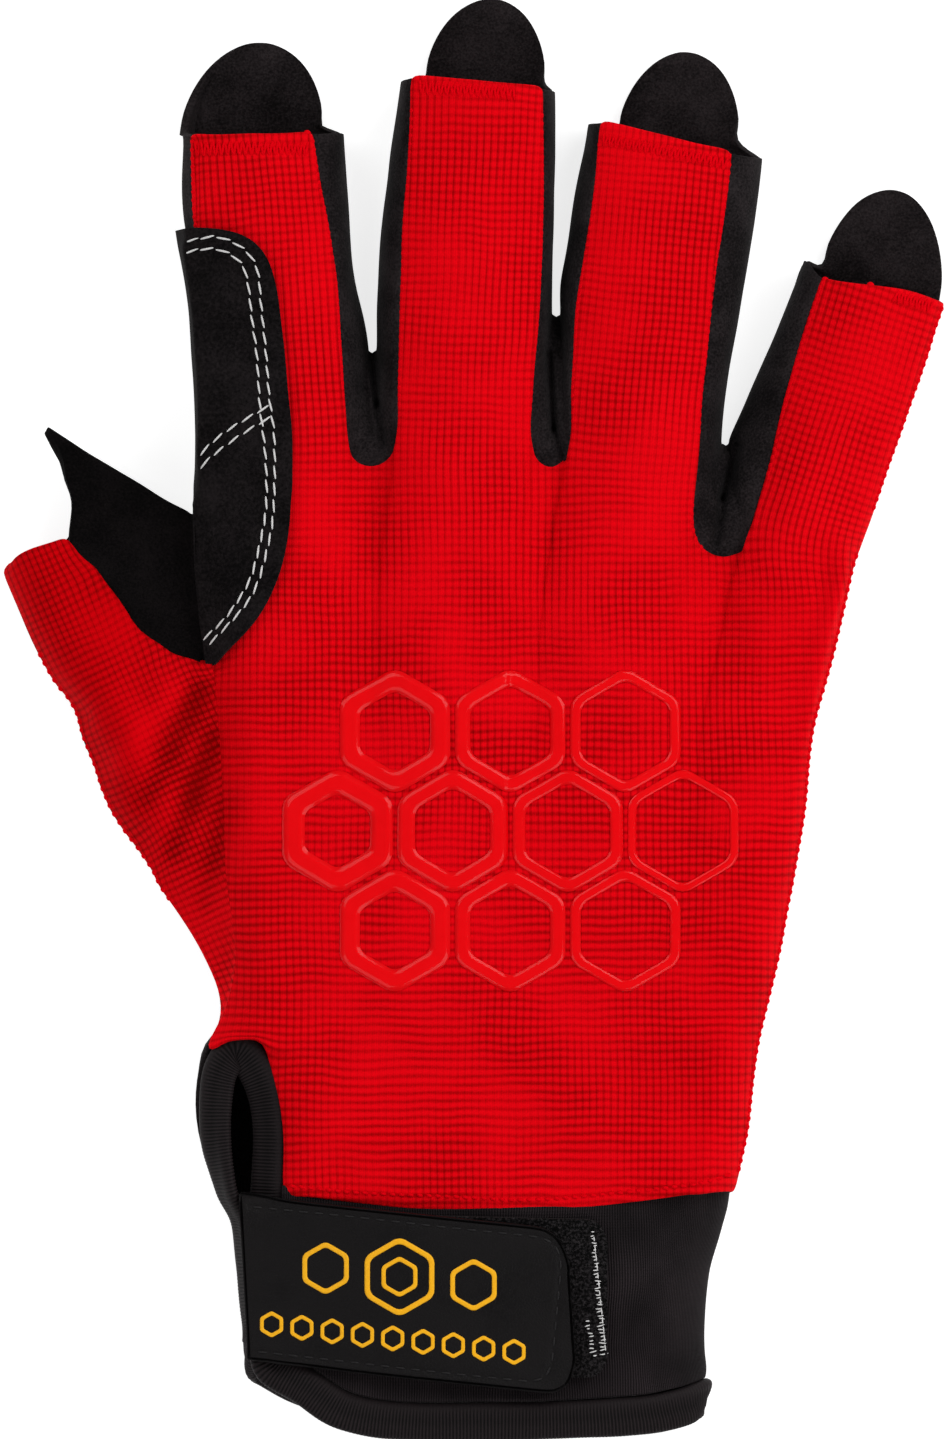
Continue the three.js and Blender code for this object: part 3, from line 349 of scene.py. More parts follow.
def turned(points, root_x, root_y, lean):
    """Across and along in a frame that leans by so many degrees towards the right."""
    angle = math.radians(lean)
    x, y = points[:, 0] - root_x, points[:, 1] - root_y
    across = x * math.cos(angle) - y * math.sin(angle)
    along = x * math.sin(angle) + y * math.cos(angle)
    return np.stack([across + root_x, along + root_y], axis=1)


def hand_lines(points):
    """Cloth coordinates of the back of the hand and its fingers."""
    lines = points[:, :2].copy()
    rise = ease(*ROOT_FADE, points[:, 1] - np.interp(points[:, 0], *FINGER_ROOTS))
    blend = BLEND_WIDTHS[0] - (BLEND_WIDTHS[0] - BLEND_WIDTHS[1]) * ease(0, 1, rise)
    beyond = [points[:, 0] - x - slant * (points[:, 1] - y) for x, y, slant in WEBS]
    shares = []
    for finger in range(4):
        share = np.ones(len(points))
        if finger:
            share *= ease(-0.5, 0.5, beyond[finger - 1] / blend / 2)
        if finger < 3:
            share *= 1 - ease(-0.5, 0.5, beyond[finger] / blend / 2)
        shares.append(share)
    total = sum(shares)
    shifts = [turned(points, *axis) - points[:, :2] for axis in AXES]
    shift = sum((share / total)[:, None] * one for share, one in zip(shares, shifts))
    return lines + shift * rise[:, None]


def thumb_lines(points):
    """Cloth coordinates of the thumb, whose ribs follow its hem all the way down to the wrist."""
    return turned(points, *THUMB_AXIS) * THUMB_SQUEEZE


def side_lines(points):
    """Cloth coordinates of a tube that lies flat: its sides are rolled out beside it."""
    lines = points[:, :2].copy()
    middle = (points[:, 0].max() + points[:, 0].min()) / 2
    below = np.maximum(points[:, 2].max() - SIDE_DROP - points[:, 2], 0)
    lines[:, 0] += np.sign(points[:, 0] - middle) * below * SIDE_SHARE
    return lines


def set_lines(piece, lines):
    """Keeps the cloth coordinates as a UV map, in millimetres."""
    layer = piece.data.uv_layers.get("cloth") or piece.data.uv_layers.new(name="cloth")
    corner = np.empty(len(piece.data.loops), dtype=np.int32)
    piece.data.loops.foreach_get("vertex_index", corner)
    layer.data.foreach_set("uv", lines[corner].astype(np.float32).ravel())


# %% [markdown]
# ## Materials
# Each finish is drawn by nodes, at the size that the real one has. A few helpers keep the recipes short:
# one adds a node and links it, and one builds the arithmetic of waves and grooves.

# %% Node helpers
class Finish:
    """A material and short ways to add its nodes."""

    def __init__(self, name, roughness=0.8, sheen=0.0, specular=0.5, sheen_tint=(1, 1, 1)):
        self.material = bpy.data.materials.new(name)
        self.material.use_nodes = True
        self.tree = self.material.node_tree
        self.shader = self.tree.nodes["Principled BSDF"]
        self.shader.inputs["Roughness"].default_value = roughness
        self.shader.inputs["Sheen Weight"].default_value = sheen
        self.shader.inputs["Sheen Roughness"].default_value = 0.45
        self.shader.inputs["Sheen Tint"].default_value = (*sheen_tint, 1)
        self.shader.inputs["Specular IOR Level"].default_value = specular

    def put(self, socket, value):
        """Links a socket to another, or sets its number."""
        if isinstance(value, bpy.types.NodeSocket):
            self.tree.links.new(value, socket)
        else:
            socket.default_value = value

    def add(self, kind, **settings):
        """A node with its settings."""
        node = self.tree.nodes.new(kind)
        for name, value in settings.items():
            setattr(node, name, value)
        return node

    def math(self, operation, first, second=0.0, third=0.0):
        """One step of arithmetic."""
        node = self.add("ShaderNodeMath", operation=operation)
        for socket, value in zip(node.inputs, (first, second, third)):
            self.put(socket, value)
        return node.outputs[0]

    def lines(self):
        """Across and along the cloth, in millimetres."""
        split = self.add("ShaderNodeSeparateXYZ")
        source = self.add("ShaderNodeUVMap", uv_map="cloth")
        self.tree.links.new(source.outputs["UV"], split.inputs[0])
        return split.outputs["X"], split.outputs["Y"], source.outputs["UV"]

    def spot(self):
        """The place on the object."""
        return self.add("ShaderNodeTexCoord").outputs["Object"]

    def noise(self, where, size, detail=2.0, roughness=0.5):
        """Noise whose grain is this many of the place's units."""
        node = self.add("ShaderNodeTexNoise")
        self.put(node.inputs["Vector"], where)
        node.inputs["Scale"].default_value = 1 / size
        node.inputs["Detail"].default_value = detail
        node.inputs["Roughness"].default_value = roughness
        return node.outputs["Fac"]

    def wave(self, value, pitch, shift=0.0):
        """A wave from 0 to 1 that repeats every so many millimetres."""
        angle = self.math("MULTIPLY_ADD", value, 2 * math.pi / pitch, shift)
        return self.math("MULTIPLY_ADD", self.math("COSINE", angle), 0.5, 0.5)

    def step(self, value, low, high, start=0.0, end=1.0):
        """A smooth step."""
        node = self.add("ShaderNodeMapRange", interpolation_type="SMOOTHSTEP")
        for name, number in zip(("From Min", "From Max", "To Min", "To Max"), (low, high, start, end)):
            self.put(node.inputs[name], number)
        self.put(node.inputs["Value"], value)
        return node.outputs["Result"]

    def blend(self, share, first, second):
        """A mix of two colours."""
        node = self.add("ShaderNodeMix", data_type="RGBA")
        self.put(node.inputs["Factor"], share)
        for socket, colour in zip((node.inputs[6], node.inputs[7]), (first, second)):
            self.put(socket, colour if isinstance(colour, bpy.types.NodeSocket) else (*colour, 1))
        return node.outputs[2]

    def finish(self, colour, height=None, depth=0.2, roughness=None):
        """Links the colour, and the height as a bump of so many millimetres."""
        self.put(self.shader.inputs["Base Color"], colour)
        if height is not None:
            bump = self.add("ShaderNodeBump")
            bump.inputs["Distance"].default_value = depth * MM
            self.put(bump.inputs["Height"], height)
            self.tree.links.new(bump.outputs["Normal"], self.shader.inputs["Normal"])
        if roughness is not None:
            self.put(self.shader.inputs["Roughness"], roughness)
        return self.material


# %% [markdown]
# ### Red ribbed knit
# Close up, the knit is rows of soft ribs about 1.4 millimetres apart, crossed by thin dark lines about 1.2
# millimetres apart, with much finer hairs of yarn between them. The grooves are a deeper red and dark where
# rib and line cross. Where the cloth is stretched, as on the fingers, the lines are strong and the ribs
# weak. The folds get painted shade and their ridges painted light, more strongly on the thumb. The thumb's
# red is darker than the hand's as painted shade, the more so the further it is from the hand.

# %% Red knit
RIB_PITCH = 1.38
LINE_PITCH = 1.18
HAIR_PITCH = 0.37
LINE_DEPTH = 0.52
GROOVE_DEPTH = 0.42
HAIR_DEPTH = 0.1
KNIT_RELIEF = 0.13
FINGER_FADE = (-25, 45)  # along the cloth, from the hand's pattern to the fingers'
# The thumb's painted shade fades out over this stretch, towards the hand.
THUMB_SHADE_FADE = (-60.0, -41.0)  # across the frame, from the thumb's reds to the hand's


def make_red_knit(name, light, deep, fold_shade, shade_fades_to=None):
    """Ribs, lines and hairs from the cloth coordinates, deeper in the grooves and the patches, with painted
    shade in the folds and painted light on the ridges.
    """
    knit = Finish(name, roughness=0.85, sheen=0.01, specular=0.02, sheen_tint=(1, 0.1, 0.1))
    across, along, where = knit.lines()
    sway = knit.math("MULTIPLY_ADD", knit.noise(where, 9.0, 1), 1.1, -0.55)
    up = knit.math("ADD", along, sway)
    groove = knit.math("SUBTRACT", 1, knit.wave(up, RIB_PITCH))
    line = knit.math("POWER", knit.wave(across, LINE_PITCH), 3.0)
    hair = knit.wave(across, HAIR_PITCH)
    on_finger = knit.step(along, *FINGER_FADE)
    stretch = knit.step(knit.noise(where, 24.0, 1), 0.34, 0.62)
    pressed = knit.step(knit.noise(where, 13.0, 1), 0.36, 0.6)
    line_share = knit.math("MULTIPLY_ADD", stretch, 0.55, 0.17)
    line_share = knit.math("MULTIPLY_ADD", on_finger, 0.2, line_share)
    groove_share = knit.math("MULTIPLY_ADD", pressed, 0.4, 0.75)
    groove_share = knit.math("MULTIPLY_ADD", on_finger, -0.35, groove_share)
    line = knit.math("MULTIPLY", line, line_share)
    groove = knit.math("MULTIPLY", knit.math("POWER", groove, 1.5), groove_share)
    open_line = knit.math("MULTIPLY_ADD", line, -LINE_DEPTH, 1.0)
    open_groove = knit.math("MULTIPLY_ADD", groove, -GROOVE_DEPTH, 1.0)
    dark = knit.math("SUBTRACT", 1.0, knit.math("MULTIPLY", open_line, open_groove))
    dark = knit.math("ADD", dark, knit.math("MULTIPLY", hair, HAIR_DEPTH))
    grain = knit.math("MULTIPLY_ADD", knit.noise(where, 0.35, 2), 0.36, -0.18)
    dark = knit.math("ADD", dark, grain)
    patchy = knit.step(knit.noise(where, 15.0, 2), 0.3, 0.7, 0, 0.08)
    dark = knit.math("ADD", dark, patchy)
    # Painted shade in the folds and painted light on the ridges, as strong as fold_shade.
    furrow = knit.add("ShaderNodeAttribute", attribute_name="furrow").outputs["Fac"]
    dark = knit.math("MULTIPLY_ADD", furrow, fold_shade, dark)
    # The thumb's darker reds are painted shade, which fades into the hand's reds towards the hand.
    if shade_fades_to:
        split = knit.add("ShaderNodeSeparateXYZ")
        knit.put(split.inputs[0], knit.spot())
        less_shade_near_hand = knit.step(split.outputs["X"], THUMB_SHADE_FADE[0] * MM, THUMB_SHADE_FADE[1] * MM)
        light, deep = (knit.blend(less_shade_near_hand, *pair) for pair in zip((light, deep), shade_fades_to))
    colour = knit.blend(knit.step(dark, -0.1, 1.0), light, deep)
    height = knit.math("MULTIPLY_ADD", groove, -0.6, knit.math("MULTIPLY", line, -0.4))
    height = knit.math("ADD", height, knit.math("MULTIPLY", hair, -0.12))
    return knit.finish(colour, height, KNIT_RELIEF)


HAND_REDS = (0.84, 0.001, 0.006), (0.2, 0.0, 0.0)
# The thumb's darker reds are painted shade.
THUMB_SHADED_REDS = (0.63, 0.0, 0.003), (0.14, 0.0, 0.0)
red_knit = make_red_knit("red_ribbed_knit", *HAND_REDS, fold_shade=0.13)
thumb_shaded_knit = make_red_knit("red_ribbed_knit_thumb_shade", *THUMB_SHADED_REDS, fold_shade=0.27, shade_fades_to=HAND_REDS)
print("made", red_knit.name, thumb_shaded_knit.name)

# %% [markdown]
# ### Suede, rib knit, tape, strap and pile
# Everything else is black, and only its surface tells it apart: suede has a short nap that scatters light,
# the cuff has hair-fine upright ribs, the tape has crosswise ribs, the strap a fine grain, and the pad on
# the cuff a rough pile of loops.

# %% Black and small finishes
def make_suede(name, tone, nap=0.4):
    """A short nap whose grain is nap millimetres, in clouds of a darker and a lighter tone."""
    suede = Finish(name, roughness=0.95, sheen=0.02, specular=0.05)
    where = suede.spot()
    fine = suede.noise(where, nap * MM, 3, 0.65)
    cloud = suede.noise(where, 7 * MM, 3)
    share = suede.math("MULTIPLY_ADD", cloud, 0.8, -0.55)
    share = suede.math("MULTIPLY_ADD", fine, 1.3, share)
    dark, light = ([channel * shade for channel in tone] for shade in (0.3, 2.3))
    colour = suede.blend(suede.step(share, 0.15, 1.0), dark, light)
    return suede.finish(colour, fine, 0.09)


RIB_KNIT_PITCH = 0.42
RIB_KNIT_LOOP = 0.5
DEEPEST_BLACK = (0.0006, 0.0004, 0.0005)


def make_rib_knit():
    """Hair-fine upright ribs that wander a little, each a row of loops."""
    knit = Finish("black_rib_knit", roughness=0.75, sheen=0.02, specular=0.07)
    across, along, where = knit.lines()
    wander = knit.math("MULTIPLY_ADD", knit.noise(where, 12.0, 1), 1.6, across)
    rib = knit.wave(wander, RIB_KNIT_PITCH)
    loop = knit.wave(knit.math("ADD", along, knit.math("MULTIPLY", rib, 0.1)), RIB_KNIT_LOOP)
    cloud = knit.math("MULTIPLY", knit.noise(where, 11.0, 2), 1.3)
    share = knit.math("MULTIPLY", knit.math("MULTIPLY_ADD", rib, 0.75, 0.15), cloud)
    colour = knit.blend(share, DEEPEST_BLACK, (0.033, 0.0248, 0.0276))
    height = knit.math("MULTIPLY_ADD", rib, 0.75, knit.math("MULTIPLY", loop, 0.25))
    return knit.finish(colour, height, 0.13)


def make_tape():
    """Woven ribs, painted darker in their hollows and in the furrow and lighter on their crests, as painted
    shade, from a number that the tape's own mesh keeps.
    """
    tape = Finish("black_elastic_tape", roughness=0.6, sheen=0.02, specular=0.1)
    where = tape.spot()
    fibre = tape.noise(where, 0.25 * MM, 2)
    # The rib number paints the hollows and the furrow darker and the crests lighter: painted shade.
    depth = tape.add("ShaderNodeAttribute", attribute_name="rib").outputs["Fac"]
    share = tape.math("MULTIPLY_ADD", fibre, 0.5, -0.25)
    share = tape.math("MULTIPLY_ADD", depth, 0.8, share)
    colour = tape.blend(share, DEEPEST_BLACK, (0.022, 0.0155, 0.017))
    return tape.finish(colour, fibre, 0.05)


def make_strap_skin():
    """Coated cloth with a fine pebbled grain."""
    skin = Finish("matt_black_synthetic", roughness=0.55, specular=0.1)
    where = skin.spot()
    grain = skin.add("ShaderNodeTexVoronoi", feature="DISTANCE_TO_EDGE")
    skin.put(grain.inputs["Vector"], where)
    grain.inputs["Scale"].default_value = 1 / (0.55 * MM)
    pebble = skin.step(grain.outputs["Distance"], 0.0, 0.25)
    cloud = skin.noise(where, 9 * MM, 3)
    colour = skin.blend(cloud, (0.0035, 0.003, 0.0032), (0.0085, 0.0072, 0.0076))
    rough = skin.step(cloud, 0.3, 0.7, 0.44, 0.62)
    return skin.finish(colour, pebble, 0.035, rough)


def make_pile():
    """A mat of tiny loops, dark between them."""
    pile = Finish("black_loop_pile", roughness=0.85, sheen=0.03, specular=0.06)
    where = pile.spot()
    tufts = pile.noise(where, 0.45 * MM, 3, 0.7)
    colour = pile.blend(pile.step(tufts, 0.42, 0.7), (0.0006, 0.0005, 0.0005), (0.028, 0.0245, 0.026))
    return pile.finish(colour, tufts, 0.4)


def make_mottled(name, dark, light, roughness, shine, grain=0.16, detail=2, relief=0.04, coat=0.0):
    """Two tones in a grain of so many millimetres: twisted yarn, a rippled film or uneven ink."""
    skin = Finish(name, roughness=roughness, specular=shine)
    skin.shader.inputs["Coat Weight"].default_value = coat
    skin.shader.inputs["Coat Roughness"].default_value = 0.1
    mottle = skin.noise(skin.spot(), grain * MM, detail)
    return skin.finish(skin.blend(mottle, dark, light), mottle, relief)


palm_suede = make_suede("black_suede", (0.0115, 0.0093, 0.0098))
thumb_suede = make_suede("deep_black_suede", (0.0026, 0.002, 0.0021))
patch_suede = make_suede("patch_suede", (0.0062, 0.005, 0.0053), 0.55)
rib_knit = make_rib_knit()
tape_weave = make_tape()
strap_skin = make_strap_skin()
loop_pile = make_pile()
white_thread = make_mottled("white_thread", (0.5, 0.49, 0.49), (0.85, 0.84, 0.83), 0.55, 0.2)
black_thread = make_mottled("black_thread", (0.003, 0.0028, 0.003), (0.02, 0.018, 0.019), 0.5, 0.2)
red_thread = make_mottled("red_thread", (0.5, 0.0, 0.003), (0.9, 0.002, 0.008), 0.7, 0.0)
red_film = make_mottled("glossy_red_film", (0.78, 0, 0.002), (0.86, 0.001, 0.004), 0.16, 0.14, 2.2, coat=0.1)
orange_print = make_mottled("orange_print", (0.84, 0.37, 0.0), (1.0, 0.51, 0.002), 0.5, 0.3, 0.5, 3, 0.03)
print("materials:", len(bpy.data.materials))

FLOOR_GLOW = 0.78
FLOOR_GREYS = [0.54] * 3, [0.57] * 3
floor_finish = Finish("pale_floor", roughness=0.9, specular=0.1)
floor_grain = floor_finish.noise(floor_finish.spot(), 0.2, 1)
floor_finish.shader.inputs["Emission Color"].default_value = (1, 1, 1, 1)
floor_finish.shader.inputs["Emission Strength"].default_value = FLOOR_GLOW
floor.data.materials.append(floor_finish.finish(floor_finish.blend(floor_grain, *FLOOR_GREYS)))

# %% [markdown]
# ## Dress the panels
# Each panel of the frame gets its cloth: copied, welded, smoothed, softened, given its lines and its
# finish. The cut edges of suede stay crisper than the folded edges of knit. The table names what each one
# gets. The cuff's upper edge is then drawn a little further up inside the panels, where a real seam has its
# allowance. The round tongues of the palm are drawn onto half ovals, because a smoothed polygon still shows
# its corners.

# %% Panels
PANELS = [
    # node, finish, slot, sharpness of its rims, levels, how its lines run
    ("back_panel", red_knit, "red_knit", 0.35, 3, hand_lines),
    ("thumb_back", thumb_shaded_knit, "red_knit", 0.35, 3, thumb_lines),
    ("palm_panel", palm_suede, "suede", 0.7, 2, None),
    ("wall_index_middle", palm_suede, "suede", 0.6, 3, None),
    ("wall_middle_ring", palm_suede, "suede", 0.6, 3, None),
    ("wall_ring_little", palm_suede, "suede", 0.6, 3, None),
    ("thumb_front", thumb_suede, "suede", 0.8, 3, None),
    ("index_patch", patch_suede, "suede", 0.8, 3, None),
    ("cuff", rib_knit, "rib_knit", 0.4, 3, side_lines),
]
SEAM_ALLOWANCE = 2.4
SEAM_REACH = 4.0  # the part of the cuff below its upper edge that is drawn up, in millimetres
TONGUE_START = (0.06, 0.3)  # shares of a tongue's length between which the oval sets in
TONGUE_RIM = (0.88, 0.965)  # shares of the way to its rim between which the oval sets in
TONGUES = [
    # middle of the hem, lean in degrees, width, length, and the middle's shift at the hem and at the tip
    (-36.61, 95.90, -4.0, 23.79, 15.37, 0.0, 1.95),
    (0.64, 104.25, 2.1, 20.11, 14.46, 1.24, 1.81),
    (31.57, 95.42, 5.1, 20.22, 14.81, 2.10, 2.65),
    (66.90, 70.37, 17.5, 20.70, 16.68, 0.0, -1.61),
]
pieces = {}


def ways(lean):
    """The ways across and along, in plan, for an axis that leans by so many degrees to the right."""
    angle = math.radians(lean)
    return np.array([math.cos(angle), -math.sin(angle)]), np.array([math.sin(angle), math.cos(angle)])


def round_tongues(piece):
    """Draws the outline of each tongue onto a true half oval."""
    points = points_of(piece.data)
    for middle_x, middle_y, lean, width, length, hem_shift, tip_shift in TONGUES:
        across_way, along_way = ways(lean)
        away = points[:, :2] - (middle_x, middle_y)
        rise = away @ along_way / length
        shift = hem_shift + (tip_shift - hem_shift) * np.clip(rise, 0, 1)
        aside = (away @ across_way - shift) / (width / 2)
        reach = np.hypot(rise, aside)
        belongs = ease(*TONGUE_START, rise) * (np.abs(aside) < 1.2) * (rise < 1.4)
        drawn = reach + (1 - reach) * ease(*TONGUE_RIM, reach)
        scale = 1 + belongs * (drawn / np.maximum(reach, 0.01) - 1)
        shift = hem_shift + (tip_shift - hem_shift) * np.clip(rise * scale, 0, 1)
        new_away = np.outer(rise * scale * length, along_way)
        new_away += np.outer(aside * scale * width / 2 + shift, across_way)
        points[:, :2] += (new_away - away) * (belongs > 0)[:, None]
    set_points(piece.data, points)


def settle(piece, finish, node=None):
    """Gives a finished piece its material, its body and the node it stands for."""
    piece.data.materials.append(finish)
    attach(piece, "root")
    if node:
        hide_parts(node)
        pieces[node] = piece
    return piece


def dress(node, finish, slot, sharpness, levels, lines):
    """Makes the cloth of one panel and puts it in the panel's place."""
    piece = copy_panel(node)
    crease_rims(piece, sharpness)
    smooth_panel(piece, levels)
    if node == "palm_panel":
        round_tongues(piece)
    if lines:
        set_lines(piece, lines(points_of(piece.data)))
    soften(piece)
    return settle(piece, finish, node)


for row in PANELS:
    made = dress(*row)
    print(made.name, "faces", len(made.data.polygons))

cuff_points = points_of(pieces["cuff"].data)
cuff_points[:, 1] += SEAM_ALLOWANCE * ease(-SEAM_REACH, 0.0, cuff_points[:, 1] - cuff_points[:, 1].max())
set_points(pieces["cuff"].data, cuff_points)

# %% [markdown]
# ## The edge tape
# An elastic tape is folded round the edge of the slit and of the cuff. It has fine crosswise ribs and a
# furrow along it, where its two halves are stitched down. A strip this long with real ribs is easiest to
# lay along a route: a closed smooth line through a table of stops, each with the way that the tape's flat
# side faces there. The route is the one that the frame's own tape follows.

# %% Route of the tape
TAPE_ROUTE = [
    # place in millimetres, and the way that the flat side faces
    (-32.9, -106.4, 14.1, -0.09, 0.22, 0.97),
    (-27.8, -109.7, 15.4, -0.02, 0.22, 0.98),
    (-20.8, -113.9, 16.1, -0.01, 0.21, 0.98),
    (-9.8, -115.4, 16.7, -0.02, 0.21, 0.98),
    (3.8, -115.4, 16.9, 0.01, 0.21, 0.98),
    (17.3, -115.1, 16.3, 0.06, 0.20, 0.98),
    (27.6, -114.4, 15.0, 0.20, 0.17, 0.96),
    (34.5, -113.1, 11.8, 0.48, 0.02, 0.87),
    (37.5, -111.5, 7.9, 0.82, -0.34, 0.45),
    (37.3, -111.4, 6.1, 0.88, -0.38, -0.28),
    (36.0, -112.5, 3.6, 0.39, -0.08, -0.92),
    (29.9, -114.0, 2.5, 0.03, -0.02, -1.00),
    (10.1, -115.3, 2.3, 0.00, -0.02, -1.00),
    (-10.8, -114.9, 2.3, -0.01, -0.02, -1.00),
    (-27.0, -110.6, 2.5, -0.04, -0.02, -1.00),
    (-34.4, -107.0, 3.4, -0.18, -0.03, -0.98),
    (-36.4, -106.0, 5.0, -0.85, -0.25, -0.45),
    (-36.6, -103.6, 7.8, -0.96, -0.10, 0.10),
    (-36.3, -100.2, 9.8, -0.93, -0.05, 0.36),
    (-36.7, -96.1, 10.1, -0.92, -0.09, 0.39),
    (-37.2, -88.8, 10.3, -0.91, -0.12, 0.40),
    (-38.1, -82.8, 11.0, -0.88, -0.24, 0.40),
    (-40.6, -77.4, 12.4, -0.86, -0.25, 0.44),
    (-42.3, -68.3, 12.6, -0.62, -0.10, 0.77),
    (-41.6, -58.8, 12.4, -0.46, 0.02, 0.88),
    (-38.6, -54.8, 12.7, -0.35, 0.02, 0.94),
    (-35.3, -58.4, 13.5, -0.35, 0.00, 0.94),
    (-33.4, -65.7, 13.0, -0.47, -0.07, 0.88),
    (-33.7, -77.3, 12.9, -0.43, -0.02, 0.90),
    (-34.0, -83.6, 13.3, -0.23, -0.10, 0.97),
    (-33.8, -89.9, 12.7, -0.23, -0.07, 0.97),
    (-33.7, -97.6, 12.4, -0.22, -0.02, 0.98),
    (-33.7, -102.1, 12.7, -0.16, 0.09, 0.98),
]
TAPE_WIDTH = 6.2
TAPE_THICKNESS = 2.4
TAPE_RIB = 0.56
TAPE_SIDES = 22
RINGS_IN_A_RIB = 4
TAPE_SQUARENESS = 0.7  # 1 gives an oval section, and less a squarer one
TAPE_FURROW = (-0.35, 0.38)  # where the furrow lies across the tape, and its width
FURROW_DEPTHS = (0.42, 0.2)  # on the outer and on the inner side
RIB_HEIGHT = 0.24
SMOOTH_EDGE = (-1.9, 0.25)  # beyond this place across the tape its ribs have only this share of their height
ROUTE_STEPS = 40


def smooth_route(rows, count, closed=True):
    """Points at even steps along a smooth line through the rows."""
    rows = np.array(rows, float)
    stops = np.roll(rows, 1, axis=0), rows, np.roll(rows, -1, axis=0), np.roll(rows, -2, axis=0)
    if not closed:
        padded = np.vstack([2 * rows[0] - rows[1], rows, 2 * rows[-1] - rows[-2]])
        stops = padded[:-3], padded[1:-2], padded[2:-1], padded[3:]
    before, here, after, beyond = stops
    fine = []
    for t in np.linspace(0, 1, ROUTE_STEPS, endpoint=False):
        bend = (2 * before - 5 * here + 4 * after - beyond) * t**2
        twist = (3 * here - before - 3 * after + beyond) * t**3
        fine.append(0.5 * (2 * here + (after - before) * t + bend + twist))
    fine = np.stack(fine, axis=1).reshape(-1, rows.shape[1])
    fine = np.vstack([fine, fine[:1] if closed else rows[-1:]])
    reach = np.concatenate([[0], np.cumsum(np.linalg.norm(np.diff(fine[:, :3], axis=0), axis=1))])
    at = np.linspace(0, reach[-1], count, endpoint=not closed)
    return np.stack([np.interp(at, reach, column) for column in fine.T], axis=1), reach[-1]


def new_mesh(name, points, faces):
    """A piece from rows of millimetres and faces."""
    mesh = bpy.data.meshes.new(name)
    mesh.from_pydata([tuple(p) for p in (np.asarray(points) * MM).tolist()], [], faces)
    mesh.validate()
    mesh.shade_smooth()
    piece = bpy.data.objects.new(name, mesh)
    scene.collection.objects.link(piece)
    return piece


def lay_tape():
    """The tape's ribbed strip, and how deep each point lies in its ribs and furrow, kept for painted shade.
    """
    _, length = smooth_route(TAPE_ROUTE, 10)
    rings = RINGS_IN_A_RIB * round(length / TAPE_RIB)
    route, _ = smooth_route(TAPE_ROUTE, rings)
    centre, facing = route[:, :3], route[:, 3:]
    forward = np.roll(centre, -2, axis=0) - np.roll(centre, 2, axis=0)
    forward /= np.linalg.norm(forward, axis=1, keepdims=True)
    facing -= (facing * forward).sum(1, keepdims=True) * forward
    facing /= np.linalg.norm(facing, axis=1, keepdims=True)
    away = np.cross(forward, facing)
    points, rib_shades = np.empty((rings, TAPE_SIDES, 3)), np.empty((rings, TAPE_SIDES))
    rib = np.cos(2 * math.pi * np.arange(rings) / RINGS_IN_A_RIB) * 0.5 + 0.5
    for side in range(TAPE_SIDES):
        angle = 2 * math.pi * (side + 0.5) / TAPE_SIDES
        flat, up = (
            math.copysign(abs(part) ** TAPE_SQUARENESS, part) * size / 2
            for part, size in ((math.cos(angle), TAPE_WIDTH), (math.sin(angle), TAPE_THICKNESS))
        )
        furrow = math.exp(-(((flat - TAPE_FURROW[0]) / TAPE_FURROW[1]) ** 2)) * FURROW_DEPTHS[up <= 0]
        ribbed = SMOOTH_EDGE[1] if flat < SMOOTH_EDGE[0] else 1.0
        height = RIB_HEIGHT * ribbed
        lift = up - math.copysign(furrow + height, up) + math.copysign(1, up) * rib * height
        points[:, side] = centre + away * flat + facing * lift[:, None]
        # Hollows of the ribs and the furrow get a lower number, which the finish paints darker: painted
        # shade.
        rib_shades[:, side] = rib * ribbed + (1 - ribbed) * 0.6 - furrow
    faces = []
    for ring in range(rings):
        here, after = ring * TAPE_SIDES, (ring + 1) % rings * TAPE_SIDES
        for side in range(TAPE_SIDES):
            beside = (side + 1) % TAPE_SIDES
            faces.append((here + side, after + side, after + beside, here + beside))
    tape = new_mesh("edge_tape_cloth", points.reshape(-1, 3), faces)
    keep_numbers(tape, "rib", rib_shades)
    return tape, length


tape, tape_length = lay_tape()
soften(tape, nudges=[])
settle(tape, tape_weave, "edge_tape")
print("tape", round(tape_length), "mm, faces", len(tape.data.polygons))

# %% [markdown]
# ## The strap and the pad it closes on
# The strap is a flat band of synthetic leather, so the frame's own shape only needs smoothing, crisp edges
# and a shallow furrow where it is stitched. Its hook layer below stands out by half a millimetre all round.
# The pad under it is covered with a pile of tiny loops: its top is subdivided finely and every point is
# pushed by a small even-grained noise, which gives it a rough edge and small shadows.

# %% Strap and pad
STRAP_SEAM = [
    (251, 1204), (350, 1213), (450, 1224), (535, 1233), (551, 1238), (559, 1249), (560, 1265), (556, 1310),
    (551, 1360), (547, 1371), (536, 1377), (520, 1376), (450, 1369), (350, 1358), (256, 1348),
]
STRAP_DRAW_IN = 0.8  # the strap's left end is drawn in by this much
STRAP_LEFT = (-35.5, -31.0)  # and this is the stretch over which it fades
STRAP_WAVE = (8.0, 0.14)  # grain and height of its waves
SEAM_FURROW = (0.55, 0.2)  # width and depth of the furrow at its seam
HOOK_EDGE = 0.5
HOOK_DROP = 0.75
TUFTS = [
    # grain and height in millimetres, and where the pattern starts
    (0.55, 0.30, (0, 0, 0)),
    (1.3, 0.16, (7, 3, 1)),
]


def upward(piece, low, high):
    """How much each point faces up: 0 where its normal rises less than low, 1 above high."""
    return ease(low, high, np.array([v.normal.z for v in piece.data.vertices]))


